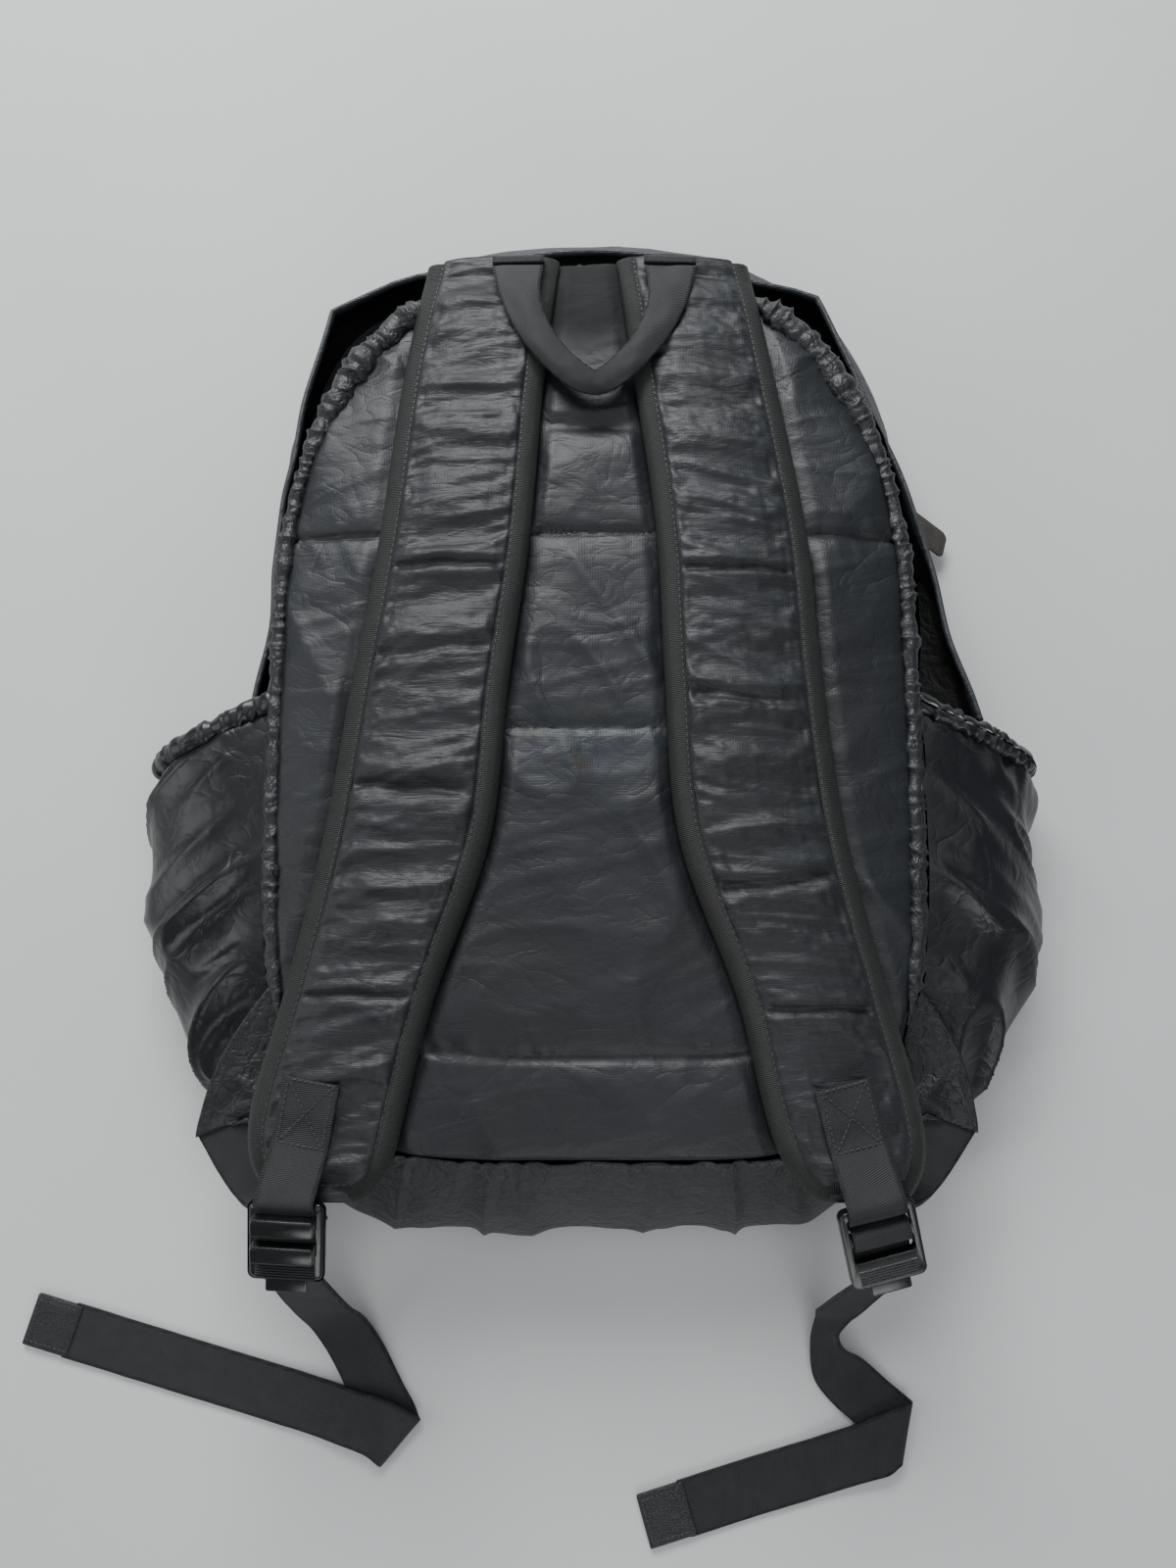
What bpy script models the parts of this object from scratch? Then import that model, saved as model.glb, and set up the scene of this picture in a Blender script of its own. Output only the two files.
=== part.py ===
"""Daypack lying on its front panel, harness side up.

The origin is on the floor, in the middle of the lower front panel. +X points to the right as the
harness is looked at, +Y to the top of the bag and +Z up, out of the back panel.
"""

from math import atan2, cos, pi, radians, sin

import bmesh
import bpy
from mathutils import Euler, Matrix, Vector

MM = 0.001
GAP = 0.3 * MM

# Driving sizes of the bag: its plan is widest at WIDEST_Y, and rounder at the top than at the base.
WIDEST_Y = 150 * MM
FRONT_HALF_WIDTH = 150 * MM
FRONT_TOP = 346 * MM
FRONT_BOTTOM = -116 * MM
MIDDLE_HALF_WIDTH = 158 * MM
MIDDLE_TOP = 352 * MM
MIDDLE_BOTTOM = -130 * MM
BACK_HALF_WIDTH = 145 * MM
BACK_TOP = 340 * MM
BACK_BOTTOM = -98 * MM
BOXY_TOP = 4.0
ROUND_TOP = 2.2
BOXY_BASE = 5.0
MIDDLE_Z = 22 * MM
SEAM_Z = 78 * MM
CROWN = 18 * MM

FABRIC = 1.2 * MM
LINING = 0.8 * MM
FOLD_Y = 100 * MM

# The zip runs round the arch at this height, between two tapes. The wall over it stands in from the rim.
ZIP_Z = 16 * MM
ZIP_COIL_RADIUS = 1.5 * MM
ZIP_TAPE_HEIGHT = 4 * MM
ARCH_INSET = 12 * MM
SLIDER_Y = 222 * MM
SLIDER_SIZE = (4 * MM, 12 * MM, 9 * MM)
PULL_LENGTH = 26 * MM
PULL_WIDTH = 15 * MM
PULL_THICKNESS = 2.4 * MM
PULL_DROOP = 10 * MM
SLIDER_CLEARANCE = 0.5 * MM
LINK_CLEARANCE = 1.3 * MM
LINK_LENGTH = 5 * MM
LINK_WIDTH = 1.8 * MM
LINK_WIRE_RADIUS = 0.5 * MM

RIM_HIGH_Z = 50 * MM
RIM_THICKNESS = 1.4 * MM
RIM_SEAM_STEP = 3 * MM
RIM_LEDGE_SHARE = 0.25
RIM_OUTLINES = {
    "left": [(-168, 104), (-161, 145), (-157, 205), (-150, 262), (-136, 323)],
    "top": [(-92, 345), (-50, 357), (-3, 362), (45, 359), (82, 345)],
    "right": [(116, 330), (143, 262), (163, 205), (176, 145), (188, 104)],
}

PAD_FOAM = 5 * MM
STRAP_FOAM = 6 * MM
STRAP_TOP_Y = 331 * MM
STRAP_HINGE_Y = 250 * MM
STRAP_END_Y = -115 * MM
BINDING = 1.2 * MM
STRAP_CENTRES = {
    "left": [(331, -50), (262, -58), (180, -65), (110, -75), (40, -84), (-30, -104), (-80, -117),
             (-115, -120)],
    "right": [(331, 44), (262, 53), (180, 64), (110, 68), (40, 75), (-30, 96), (-78, 108), (-115, 116)],
}
STRAP_WIDTHS = [(331, 64), (250, 67), (180, 69), (110, 71), (40, 74), (-30, 66), (-80, 67), (-100, 60),
                (-115, 40)]

WEBBING_WIDTH = 25 * MM
WEBBING = 1.6 * MM

BUCKLE_WIDTH = 33 * MM
BUCKLE_LENGTH = 36 * MM
BUCKLE_THICKNESS = 5 * MM
BUCKLE_BAR = 4 * MM
BUCKLE_CORNER = 3.5 * MM
BUCKLE_SLOT = 8 * MM
BUCKLE_SLOT_CLEARANCE = 1.5 * MM
BUCKLE_TAB_REACH = 5 * MM
BUCKLE_TAB_SHARE = 0.55
BUCKLE_TILT = 20
BUCKLE_PLACES = {
    "left": {"bar": (-130 * MM, -115 * MM), "turn": -3},
    "right": {"bar": (118 * MM, -116 * MM), "turn": 14},
}
PATCH_TURNS = {"left": -10, "right": 14}
PATCH_START = 52
PATCH_STEPS = (0, 14, 28)

# Where each webbing tail runs from its buckle to its end tab: its middle, and the vector across it.
# At the fold the vector lies along the crease.
TAIL_ROUTES = {
    "left": [
        ((-126, -169, 34), (25, 2, 0)),
        ((-121, -182, 12), (24.5, 5, 0)),
        ((-114, -196, 3), (24, 7, 0)),
        ((-104, -215, 1), (23.5, 8.6, 0)),
        ((-97, -228, 1), (21, 16, 0)),
        ((-93.5, -235.5, 1.8), (18.7, 20.7, 0)),
        ((-92.5, -236.5, 3.2), (18.7, 20.7, 0)),
        ((-94, -235, 4.6), (18.7, 20.7, 0)),
        ((-104, -229.5, 4.4), (11, 23.5, 0)),
        ((-119, -225, 3.6), (6.7, 24.1, 0)),
        ((-140, -219, 1.4), (6.7, 24.1, 0)),
        ((-190, -205, 1), (6.5, 24.1, 0)),
        ((-250, -188, 1), (6, 24.3, 0)),
    ],
    "right": [
        ((112, -166, 46), (20, 4, 12)),
        ((110, -177, 25), (10, 2, 22)),
        ((109, -188, 14.5), (9, 8, 21)),
        ((112, -200, 9), (13, 15, 13)),
        ((121, -209, 3), (16, 19, 3)),
        ((133, -219.5, 1.3), (16.2, 19.1, 0)),
        ((143, -228, 1.2), (10, 25, 0)),
        ((147, -231, 1.8), (5.9, 27.7, 0)),
        ((148.2, -232, 3.2), (5.9, 27.7, 0)),
        ((146.8, -233, 4.6), (5.9, 27.7, 0)),
        ((138, -237, 4.4), (-2, 27, 0)),
        ((125, -241.5, 3.6), (-6.5, 24.2, 0)),
        ((105, -248, 1.4), (-6.9, 24, 0)),
        ((75, -256.5, 1), (-6.9, 24, 0)),
        ((46, -265, 1), (-6.5, 24.1, 0)),
    ],
}
TAB_LENGTH = 23 * MM
TAB_THICKNESS = 2.6 * MM

COLOURS = {
    "nylon": (0.036, 0.041, 0.048),
    "taffeta": (0.018, 0.020, 0.023),
    "coated": (0.060, 0.066, 0.072),
    "lining": (0.008, 0.008, 0.009),
    "grosgrain": (0.020, 0.020, 0.018),
    "webbing": (0.022, 0.024, 0.026),
    "foam": (0.25, 0.25, 0.25),
    "acetal": (0.012, 0.012, 0.013),
    "leather": (0.022, 0.022, 0.022),
    "grey_leather": (0.065, 0.062, 0.055),
    "zip": (0.015, 0.015, 0.016),
    "metal": (0.08, 0.08, 0.085),
}
SURFACES = {"acetal": (0.3, 0.0), "leather": (0.45, 0.0), "metal": (0.35, 1.0)}
DULL = (0.65, 0.0)


def clear_scene():
    for old in list(bpy.data.objects):
        bpy.data.objects.remove(old, do_unlink=True)


def make_collection(name):
    collection = bpy.data.collections.new(name)
    bpy.context.scene.collection.children.link(collection)
    return collection


clear_scene()
PARTS = make_collection("daypack")
CUTTERS = make_collection("cutters")


def material(name):
    made = bpy.data.materials.get(name)
    if made is None:
        made = bpy.data.materials.new(name)
        made.use_nodes = True
        roughness, metallic = SURFACES.get(name, DULL)
        shader = made.node_tree.nodes["Principled BSDF"]
        shader.inputs["Base Color"].default_value = (*COLOURS[name], 1.0)
        shader.inputs["Roughness"].default_value = roughness
        shader.inputs["Metallic"].default_value = metallic
    return made


def pivot(name, place):
    """An empty on a joint's axis, which carries the pieces that move on that joint."""
    empty = bpy.data.objects.new(name, None)
    empty.location = place
    PARTS.objects.link(empty)
    bpy.context.view_layer.update()
    return empty


def carry(piece, carrier):
    if carrier is not None:
        bpy.context.view_layer.update()
        piece.parent = carrier
        piece.matrix_parent_inverse = carrier.matrix_world.inverted()


def add_piece(name, data, finish, carrier=None):
    piece = bpy.data.objects.new(name, data)
    PARTS.objects.link(piece)
    data.materials.append(material(finish))
    carry(piece, carrier)
    return piece


def slab(name, columns, rows, place, finish, carrier=None, closed=False, centred=False):
    """A grid, extruded into a flat box and then shaped: place(across, along, up) has values from 0 to 1.

    closed joins the two ends of across into a ring, and centred brings along = 0 to one point."""
    mesh = bmesh.new()
    bmesh.ops.create_grid(mesh, x_segments=columns, y_segments=rows, size=0.5)
    raised = bmesh.ops.extrude_face_region(mesh, geom=mesh.faces[:])["geom"]
    for corner in raised:
        if isinstance(corner, bmesh.types.BMVert):
            corner.co.z = 1.0

    def on_end(face, axis, value):
        return all(abs(corner.co[axis] - value) < 1e-5 for corner in face.verts)

    ends = []
    if closed:
        ends += [face for face in mesh.faces if on_end(face, 0, -0.5) or on_end(face, 0, 0.5)]
    if centred:
        ends += [face for face in mesh.faces if on_end(face, 1, -0.5)]
    bmesh.ops.delete(mesh, geom=list(set(ends)), context="FACES")
    for corner in mesh.verts:
        corner.co = place(corner.co.x + 0.5, corner.co.y + 0.5, corner.co.z)
    bmesh.ops.remove_doubles(mesh, verts=mesh.verts[:], dist=1e-6)
    bmesh.ops.recalc_face_normals(mesh, faces=mesh.faces[:])
    data = bpy.data.meshes.new(name)
    mesh.to_mesh(data)
    mesh.free()
    data.shade_smooth()
    data.set_sharp_from_angle(angle=radians(40))
    return add_piece(name, data, finish, carrier)


def tube(name, points, radius, finish, carrier=None, cyclic=False):
    curve = bpy.data.curves.new(name, "CURVE")
    curve.dimensions = "3D"
    curve.bevel_depth = radius
    curve.bevel_resolution = 1
    curve.use_fill_caps = True
    spline = curve.splines.new("POLY")
    spline.points.add(len(points) - 1)
    for corner, point in zip(spline.points, points):
        corner.co = (*point, 1.0)
    spline.use_cyclic_u = cyclic
    return add_piece(name, curve, finish, carrier)


def plate(name, outline, low, high, finish, carrier=None):
    """A flat outline, filled and given its thickness."""
    curve = bpy.data.curves.new(name, "CURVE")
    curve.dimensions = "2D"
    curve.fill_mode = "BOTH"
    curve.extrude = (high - low) / 2
    spline = curve.splines.new("POLY")
    spline.points.add(len(outline) - 1)
    for corner, (x, y) in zip(spline.points, outline):
        corner.co = (x, y, 0.0, 1.0)
    spline.use_cyclic_u = True
    piece = add_piece(name, curve, finish)
    piece.location.z = (low + high) / 2
    carry(piece, carrier)
    return piece


def box(name, centre, size, finish, carrier=None, bevel=0.0, turn=(0.0, 0.0, 0.0)):
    mesh = bmesh.new()
    bmesh.ops.create_cube(mesh, size=1.0)
    bmesh.ops.scale(mesh, vec=size, verts=mesh.verts)
    data = bpy.data.meshes.new(name)
    mesh.to_mesh(data)
    mesh.free()
    piece = add_piece(name, data, finish)
    piece.location = centre
    piece.rotation_euler = turn
    if bevel > 0:
        edges = piece.modifiers.new("edges", "BEVEL")
        edges.width = bevel
        edges.segments = 2
    carry(piece, carrier)
    return piece


def mix(low, high, share):
    return low + (high - low) * share


def smooth_value(points, where):
    """A smooth curve through (place, value) pairs, listed from high place to low."""
    pairs = sorted(points)
    places = [pair[0] * MM for pair in pairs]
    values = [pair[1] * MM for pair in pairs]
    last = len(pairs) - 1
    index = 0
    while index < last - 1 and where > places[index + 1]:
        index += 1

    def slope(at):
        before = max(at - 1, 0)
        after = min(at + 1, last)
        return (values[after] - values[before]) / (places[after] - places[before])

    width = places[index + 1] - places[index]
    share = min(max((where - places[index]) / width, 0.0), 1.0)
    start_share = (1 + 2 * share) * (1 - share) ** 2
    end_share = share ** 2 * (3 - 2 * share)
    start_slope = share * (1 - share) ** 2 * width * slope(index)
    end_slope = share ** 2 * (share - 1) * width * slope(index + 1)
    return values[index] * start_share + values[index + 1] * end_share + start_slope + end_slope


# ---- the bag's outer form ----

def level_sizes(height):
    """Half width, top, bottom and squareness of the top of the bag's plan at a height."""
    if height <= MIDDLE_Z:
        share = height / MIDDLE_Z
        low = (FRONT_HALF_WIDTH, FRONT_TOP, FRONT_BOTTOM, BOXY_TOP)
        high = (MIDDLE_HALF_WIDTH, MIDDLE_TOP, MIDDLE_BOTTOM, BOXY_TOP)
    else:
        share = (height - MIDDLE_Z) / (SEAM_Z - MIDDLE_Z)
        low = (MIDDLE_HALF_WIDTH, MIDDLE_TOP, MIDDLE_BOTTOM, BOXY_TOP)
        high = (BACK_HALF_WIDTH, BACK_TOP, BACK_BOTTOM, ROUND_TOP)
    return [mix(start, end, share) for start, end in zip(low, high)]


def plan_radius(angle, height):
    """Distance from the plan's middle to the bag's wall, at an angle from +X."""
    half_width, top, bottom, squareness = level_sizes(height)
    if sin(angle) >= 0:
        reach = top - WIDEST_Y
    else:
        reach = WIDEST_Y - bottom
        squareness = BOXY_BASE
    across = (abs(cos(angle)) / half_width) ** squareness
    along = (abs(sin(angle)) / reach) ** squareness
    return (across + along) ** (-1 / squareness)


def wall_point(angle, height, outward=0.0):
    radius = plan_radius(angle, height) + outward
    return Vector((radius * cos(angle), WIDEST_Y + radius * sin(angle), height))


def back_height(x, y):
    """Height of the back panel's surface. Past the seam it goes on falling, under the straps."""
    angle = atan2(y - WIDEST_Y, x)
    distance = (x ** 2 + (y - WIDEST_Y) ** 2) ** 0.5
    share = distance / plan_radius(angle, SEAM_Z)
    return SEAM_Z + CROWN * (1 - share ** 2)


def arch_angles(height):
    """Angles of the two ends of the arch, where the wall crosses the fold line."""
    half_width = level_sizes(height)[0]
    start = atan2(FOLD_Y - WIDEST_Y, half_width)
    return start, pi - start


def flush(height):
    return 0.0


def arch_inset(height):
    """How far the arch's wall stands in from the rim. It meets the back panel's seam flush."""
    return ARCH_INSET * (SEAM_Z - height) / (SEAM_Z - MIDDLE_Z)


def wall_band(name, low, high, start, end, columns, finish, carrier=None, rows=1, inset=flush, depth=0.0,
              thickness=FABRIC):
    """A strip of the bag's wall between two heights and two angles."""
    def place(across, along, up):
        height = mix(low, high, along)
        outward = -inset(height) - depth - thickness * (1 - up)
        return wall_point(mix(start, end, across), height, outward)
    return slab(name, columns, rows, place, finish, carrier)


ARCH_START, ARCH_END = arch_angles(MIDDLE_Z)
SEAM_ANGLE = radians(0.12)
CORNER_ANGLE = radians(-62)
TOP_OF_WALL = SEAM_Z - 3 * MM
ARCH_LOW_Z = ZIP_Z + ZIP_COIL_RADIUS + ZIP_TAPE_HEIGHT + 2 * GAP
ARCH_COLUMNS = 36
ARCH_ROWS = 3


def make_wall():
    side_end = ARCH_START - SEAM_ANGLE
    side_start = CORNER_ANGLE + SEAM_ANGLE
    low = FABRIC + 2 * GAP
    wall_band("side_panel_right", low, TOP_OF_WALL, side_start, side_end, 16, "nylon", rows=4)
    wall_band("side_panel_left", low, TOP_OF_WALL, pi - side_end, pi - side_start, 16, "nylon", rows=4)
    wall_band("bottom_panel", low, TOP_OF_WALL, -pi - CORNER_ANGLE, CORNER_ANGLE, 28, "nylon", rows=4)
    wall_band("top_gusset", ARCH_LOW_Z, TOP_OF_WALL, ARCH_START, ARCH_END, ARCH_COLUMNS, "nylon",
              rows=ARCH_ROWS, inset=arch_inset)


# ---- the back panel ----

def back_disc(name, reach, drop, thickness, finish, columns=36, rows=4):
    """A layer of the back panel: reach is its share of the panel's outline, drop its depth."""
    def place(across, along, up):
        angle = 2 * pi * across
        radius = plan_radius(angle, SEAM_Z) * along * reach
        x = radius * cos(angle)
        y = WIDEST_Y + radius * sin(angle)
        return Vector((x, y, back_height(x, y) - drop - thickness * (1 - up)))
    return slab(name, columns, rows, place, finish, closed=True, centred=True)


def make_back_panel():
    foam_drop = FABRIC + GAP
    lining_drop = foam_drop + PAD_FOAM + GAP
    back_disc("back_panel", 1.0, 0.0, FABRIC, "nylon")
    back_disc("back_foam", 0.97, foam_drop, PAD_FOAM, "foam")
    back_disc("back_lining", 0.97, lining_drop, LINING, "lining")


EDGE_BAND_RADIUS = 2.6 * MM
EDGE_BAND_LOW = radians(-48)
EDGE_BAND_HIGH = radians(21)


def make_edge_bands():
    """The gathered elastic edge of the back panel, outside the straps."""
    outward = EDGE_BAND_RADIUS + 3 * GAP
    steps = 16
    for side, flip in (("right", 1), ("left", -1)):
        points = []
        for step in range(steps + 1):
            point = wall_point(mix(EDGE_BAND_LOW, EDGE_BAND_HIGH, step / steps), SEAM_Z, outward)
            points.append((flip * point.x, point.y, SEAM_Z - FABRIC))
        tube("back_edge_" + side, points, EDGE_BAND_RADIUS, "nylon")


# ---- front panel, lining and the opening panel ----

def arch_outline(height, inset, steps=30):
    start, end = arch_angles(height)
    return [wall_point(mix(start, end, step / steps), height, -inset).xy for step in range(steps + 1)]


def base_outline(height, inset, steps=24):
    start, end = arch_angles(height)
    angles = [mix(end, start + 2 * pi, step / steps) for step in range(steps + 1)]
    return [wall_point(angle, height, -inset).xy for angle in angles]


def moved(outline, shift):
    return [(x, y + shift) for x, y in outline]


def make_front_panel():
    plate("front_panel_lower", moved(base_outline(0.0, 0.0), -GAP), 0.0, FABRIC, "nylon")


def make_opening_panel():
    hinge = pivot("opening_panel_pivot", (0.0, FOLD_Y, 0.0))
    plate("front_panel_upper", moved(arch_outline(0.0, 0.0), GAP), 0.0, FABRIC, "nylon", hinge)
    tape_high = ZIP_Z - ZIP_COIL_RADIUS - GAP
    tape_low = tape_high - ZIP_TAPE_HEIGHT
    start = ARCH_START + SEAM_ANGLE
    end = ARCH_END - SEAM_ANGLE
    wall_band("front_gusset", FABRIC + GAP, tape_low - GAP, start, end, ARCH_COLUMNS, "nylon", hinge)
    wall_band("zip_tape_panel", tape_low, tape_high, start, end, ARCH_COLUMNS, "zip", hinge)
    lining = moved(arch_outline(0.0, 8 * MM), 6 * MM)
    plate("panel_lining", lining, FABRIC + GAP, FABRIC + GAP + LINING, "lining", hinge)


def make_zip():
    tape_low = ZIP_Z + ZIP_COIL_RADIUS + GAP
    wall_band("zip_tape_bag", tape_low, tape_low + ZIP_TAPE_HEIGHT, ARCH_START, ARCH_END, ARCH_COLUMNS, "zip")
    steps = ARCH_COLUMNS
    points = []
    for step in range(steps + 1):
        angle = mix(ARCH_START, ARCH_END, step / steps)
        points.append(wall_point(angle, ZIP_Z, -FABRIC / 2))
    tube("zip_chain", points, ZIP_COIL_RADIUS, "zip")


def make_slider():
    across, along, high = SLIDER_SIZE
    inner_face = wall_x(SLIDER_Y, ZIP_Z + high / 2) + SLIDER_CLEARANCE
    centre = Vector((inner_face + across / 2, SLIDER_Y, ZIP_Z))
    slide = pivot("zip_slider_pivot", centre)
    box("zip_slider", centre, SLIDER_SIZE, "metal", slide, bevel=0.8 * MM)
    hinge_place = centre + Vector((across / 2 + LINK_CLEARANCE, 0.0, 0.0))
    swing = pivot("zip_pull_pivot", hinge_place)
    carry(swing, slide)
    link = []
    for step in range(17):
        angle = mix(0.1 * pi, 1.9 * pi, step / 16)
        loop = Vector((LINK_LENGTH * (1 - cos(angle)) / 2, LINK_WIDTH * sin(angle) / 2, 0.0))
        link.append(hinge_place + loop)
    tube("zip_pull_link", link, LINK_WIRE_RADIUS, "metal", swing, cyclic=True)
    start = hinge_place + Vector((LINK_LENGTH + LINK_WIRE_RADIUS + GAP, 0.0, 0.0))

    def place(across_share, along_share, up):
        out = mix(0.0, PULL_LENGTH, along_share)
        side = (across_share - 0.5) * PULL_WIDTH
        droop = mix(0.0, -PULL_DROOP, along_share)
        return start + Vector((out * 0.55, side - out * 0.65, droop + PULL_THICKNESS * (up - 0.5)))
    slab("zip_pull", 1, 3, place, "grey_leather", swing)


def rim_point(across):
    """A point of the rim's upper edge. Its sharp corners are where the side and top strips meet."""
    corners = RIM_OUTLINES["left"] + RIM_OUTLINES["top"] + RIM_OUTLINES["right"]
    spot = across * (len(corners) - 1)
    index = min(int(spot), len(corners) - 2)
    start = Vector(corners[index]) * MM
    end = Vector(corners[index + 1]) * MM
    return start.lerp(end, spot - index)


def make_rim():
    """The stiff rim of the front shell: a ledge from the arch's wall, turned up to a free edge."""
    low = ARCH_LOW_Z
    columns = len(RIM_OUTLINES["left"] + RIM_OUTLINES["top"] + RIM_OUTLINES["right"]) - 1

    def place(across, along, up):
        edge = rim_point(across)
        angle = max(atan2(edge.y - WIDEST_Y, abs(edge.x)), ARCH_START)
        if edge.x < 0:
            angle = pi - angle
        inner = wall_point(angle, low, -ARCH_INSET + RIM_SEAM_STEP)
        turn = wall_point(angle, low, -RIM_THICKNESS * up)
        inward = Vector((-cos(angle), -sin(angle), 0.0))
        if along <= RIM_LEDGE_SHARE:
            point = inner.lerp(turn, along / RIM_LEDGE_SHARE)
            point.z = low + RIM_THICKNESS * up
        else:
            share = (along - RIM_LEDGE_SHARE) / (1 - RIM_LEDGE_SHARE)
            top = Vector((edge.x, edge.y, RIM_HIGH_Z)) + inward * RIM_THICKNESS * up
            point = turn.lerp(top, share)
            point.z = mix(low + RIM_THICKNESS * up, RIM_HIGH_Z, share)
        point.y = max(point.y, FOLD_Y + GAP)
        return point
    slab("front_rim", 2 * columns, 4, place, "coated")


def make_lining():
    seam = 3 * SEAM_ANGLE
    wall_band("arch_lining", ARCH_LOW_Z, TOP_OF_WALL, ARCH_START, ARCH_END, ARCH_COLUMNS, "lining",
              rows=ARCH_ROWS, inset=arch_inset, depth=FABRIC + 2 * GAP, thickness=LINING)
    wall_band("pouch_lining", 2 * FABRIC + GAP, TOP_OF_WALL, ARCH_END + seam, 2 * pi + ARCH_START - seam, 48,
              "lining", rows=4, depth=FABRIC + 5 * GAP, thickness=LINING)


# ---- side pockets ----

POCKET_MOUTH_Y = 106 * MM
POCKET_OUTER_Y = 80 * MM
POCKET_BOTTOM_Y = -96 * MM
POCKET_REACH = 60 * MM
POCKET_SEAM_HIGH = SEAM_Z - 8 * MM
POCKET_END_HIGH = 30 * MM
POCKET_SEAM_LOW = 8 * MM
POCKET_LOWEST = 1.0 * MM
POCKET_BOTTOM_LOW = 12 * MM
POCKET_SAG = 6 * MM
POCKET_STAND_OFF = 3 * MM
POCKET_SHALLOWEST = 0.10
POCKET_MOUTH_PULL = 0.97
ELASTIC_RADIUS = 4.5 * MM
TUBE_RADIUS = 4 * MM
TUBE_LENGTH = 20 * MM
TUBE_HIGH_Y = 146 * MM
TUBE_Z = 60 * MM


def wall_x(y, height):
    """Half width of the bag at a place along it, found on its wall by halving the angle."""
    low, high = radians(-89), radians(89)
    for _ in range(40):
        middle = (low + high) / 2
        if wall_point(middle, height).y < y:
            low = middle
        else:
            high = middle
    return wall_point(low, height).x


def pocket_section(length_share):
    """Reach and seam heights of the pocket, from its mouth (0) to its bottom (1)."""
    fullness = (1 - length_share ** 3) ** 0.6
    mouth = mix(POCKET_MOUTH_PULL, 1.0, min(length_share * 3, 1.0))
    reach = POCKET_REACH * mix(POCKET_SHALLOWEST, 1.0, fullness) * mouth
    high = mix(POCKET_SEAM_HIGH, POCKET_END_HIGH, length_share ** 2)
    low = mix(POCKET_SEAM_LOW, POCKET_BOTTOM_LOW, length_share)
    return reach, high, low


def pocket_point(flip, length_share, round_share, inset):
    reach, high, low = pocket_section(length_share)
    bulge = sin(pi * round_share) ** 0.7 if 0 < round_share < 1 else 0.0
    height = mix(high, low, (1 - cos(pi * round_share)) / 2)
    sag = POCKET_SAG * bulge * min(1.0, (1 - length_share) * 3)
    mouth = mix(POCKET_MOUTH_Y, POCKET_OUTER_Y, bulge)
    y = mix(mouth, POCKET_BOTTOM_Y, length_share)
    centre_height = (high + low) / 2
    squeeze = 1 - inset / ((high - low) / 2)
    height = mix(centre_height, height, squeeze) - sag
    height = max(height, POCKET_LOWEST + inset)
    x = wall_x(y, mix(high, low, round_share)) + POCKET_STAND_OFF + (reach - inset) * bulge
    return Vector((flip * x, y, height))


def make_pockets():
    for side, flip in (("left", -1), ("right", 1)):
        def place(across, along, up):
            return pocket_point(flip, along, across, FABRIC * (1 - up))
        slab("side_pocket_" + side, 12, 7, place, "taffeta")
        hem = []
        steps = 16
        for step in range(steps + 1):
            point = pocket_point(flip, 0.0, step / steps, FABRIC / 2)
            hem.append(point + Vector((0.0, ELASTIC_RADIUS + 2 * GAP, 0.0)))
        for point in hem:
            point.z = max(point.z, ELASTIC_RADIUS + POCKET_LOWEST)
        hem[0].x += flip * ELASTIC_RADIUS
        hem[-1].x += flip * ELASTIC_RADIUS
        tube("pocket_elastic_" + side, hem, ELASTIC_RADIUS, "taffeta")
    ends = []
    for y in (TUBE_HIGH_Y, TUBE_HIGH_Y - TUBE_LENGTH):
        x = wall_x(y, TUBE_Z) - arch_inset(TUBE_Z) + TUBE_RADIUS + 2 * GAP
        ends.append((x, y, TUBE_Z))
    tube("rolled_tube_right", ends, TUBE_RADIUS, "coated")


# ---- shoulder straps ----

STRAP_SEAT = 1.0 * MM
BACKING_TOP = STRAP_SEAT + LINING
FOAM_LOW = BACKING_TOP + GAP
FOAM_TOP = FOAM_LOW + STRAP_FOAM
COVER_LOW = FOAM_TOP + GAP
COVER_TOP = COVER_LOW + FABRIC
STRAP_ROWS = 18
END_COLUMNS = 4


def strap_point(side, y, across, lift, margin=0.0):
    """A point of a strap: across runs from -1 to 1, lift is measured from the back panel."""
    centre = smooth_value(STRAP_CENTRES[side], y)
    half = smooth_value(STRAP_WIDTHS, y) / 2 + margin
    x = centre + across * half
    return Vector((x, y, back_height(x, y) + lift))


def strap_layer(name, side, high_y, low_y, low, high, finish, carrier, rows):
    def place(across, along, up):
        return strap_point(side, mix(high_y, low_y, along), 2 * across - 1, mix(low, high, up))
    return slab(name, END_COLUMNS, rows, place, finish, carrier)


def strap_binding(name, side, high_y, low_y, carrier, rows):
    """The tape round the strap's edges, as a thin wall that stands on the strap's outline."""
    share_of_end = 0.5 * END_COLUMNS / (2 * rows + END_COLUMNS)

    def place(across, along, up):
        if across < 0.5 - share_of_end:
            share = across / (0.5 - share_of_end)
            edge, y = -1.0, mix(high_y, low_y, share)
        elif across > 0.5 + share_of_end:
            share = (1 - across) / (0.5 - share_of_end)
            edge, y = 1.0, mix(high_y, low_y, share)
        else:
            edge, y = (across - 0.5) / share_of_end, low_y
        outward = GAP + BINDING * up
        point = strap_point(side, y, edge, mix(STRAP_SEAT, COVER_TOP, along), outward)
        if share_of_end > abs(across - 0.5) - 1e-6:
            point.y -= outward
        return point
    return slab(name, 2 * rows + END_COLUMNS, 1, place, "grosgrain", carrier)


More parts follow.
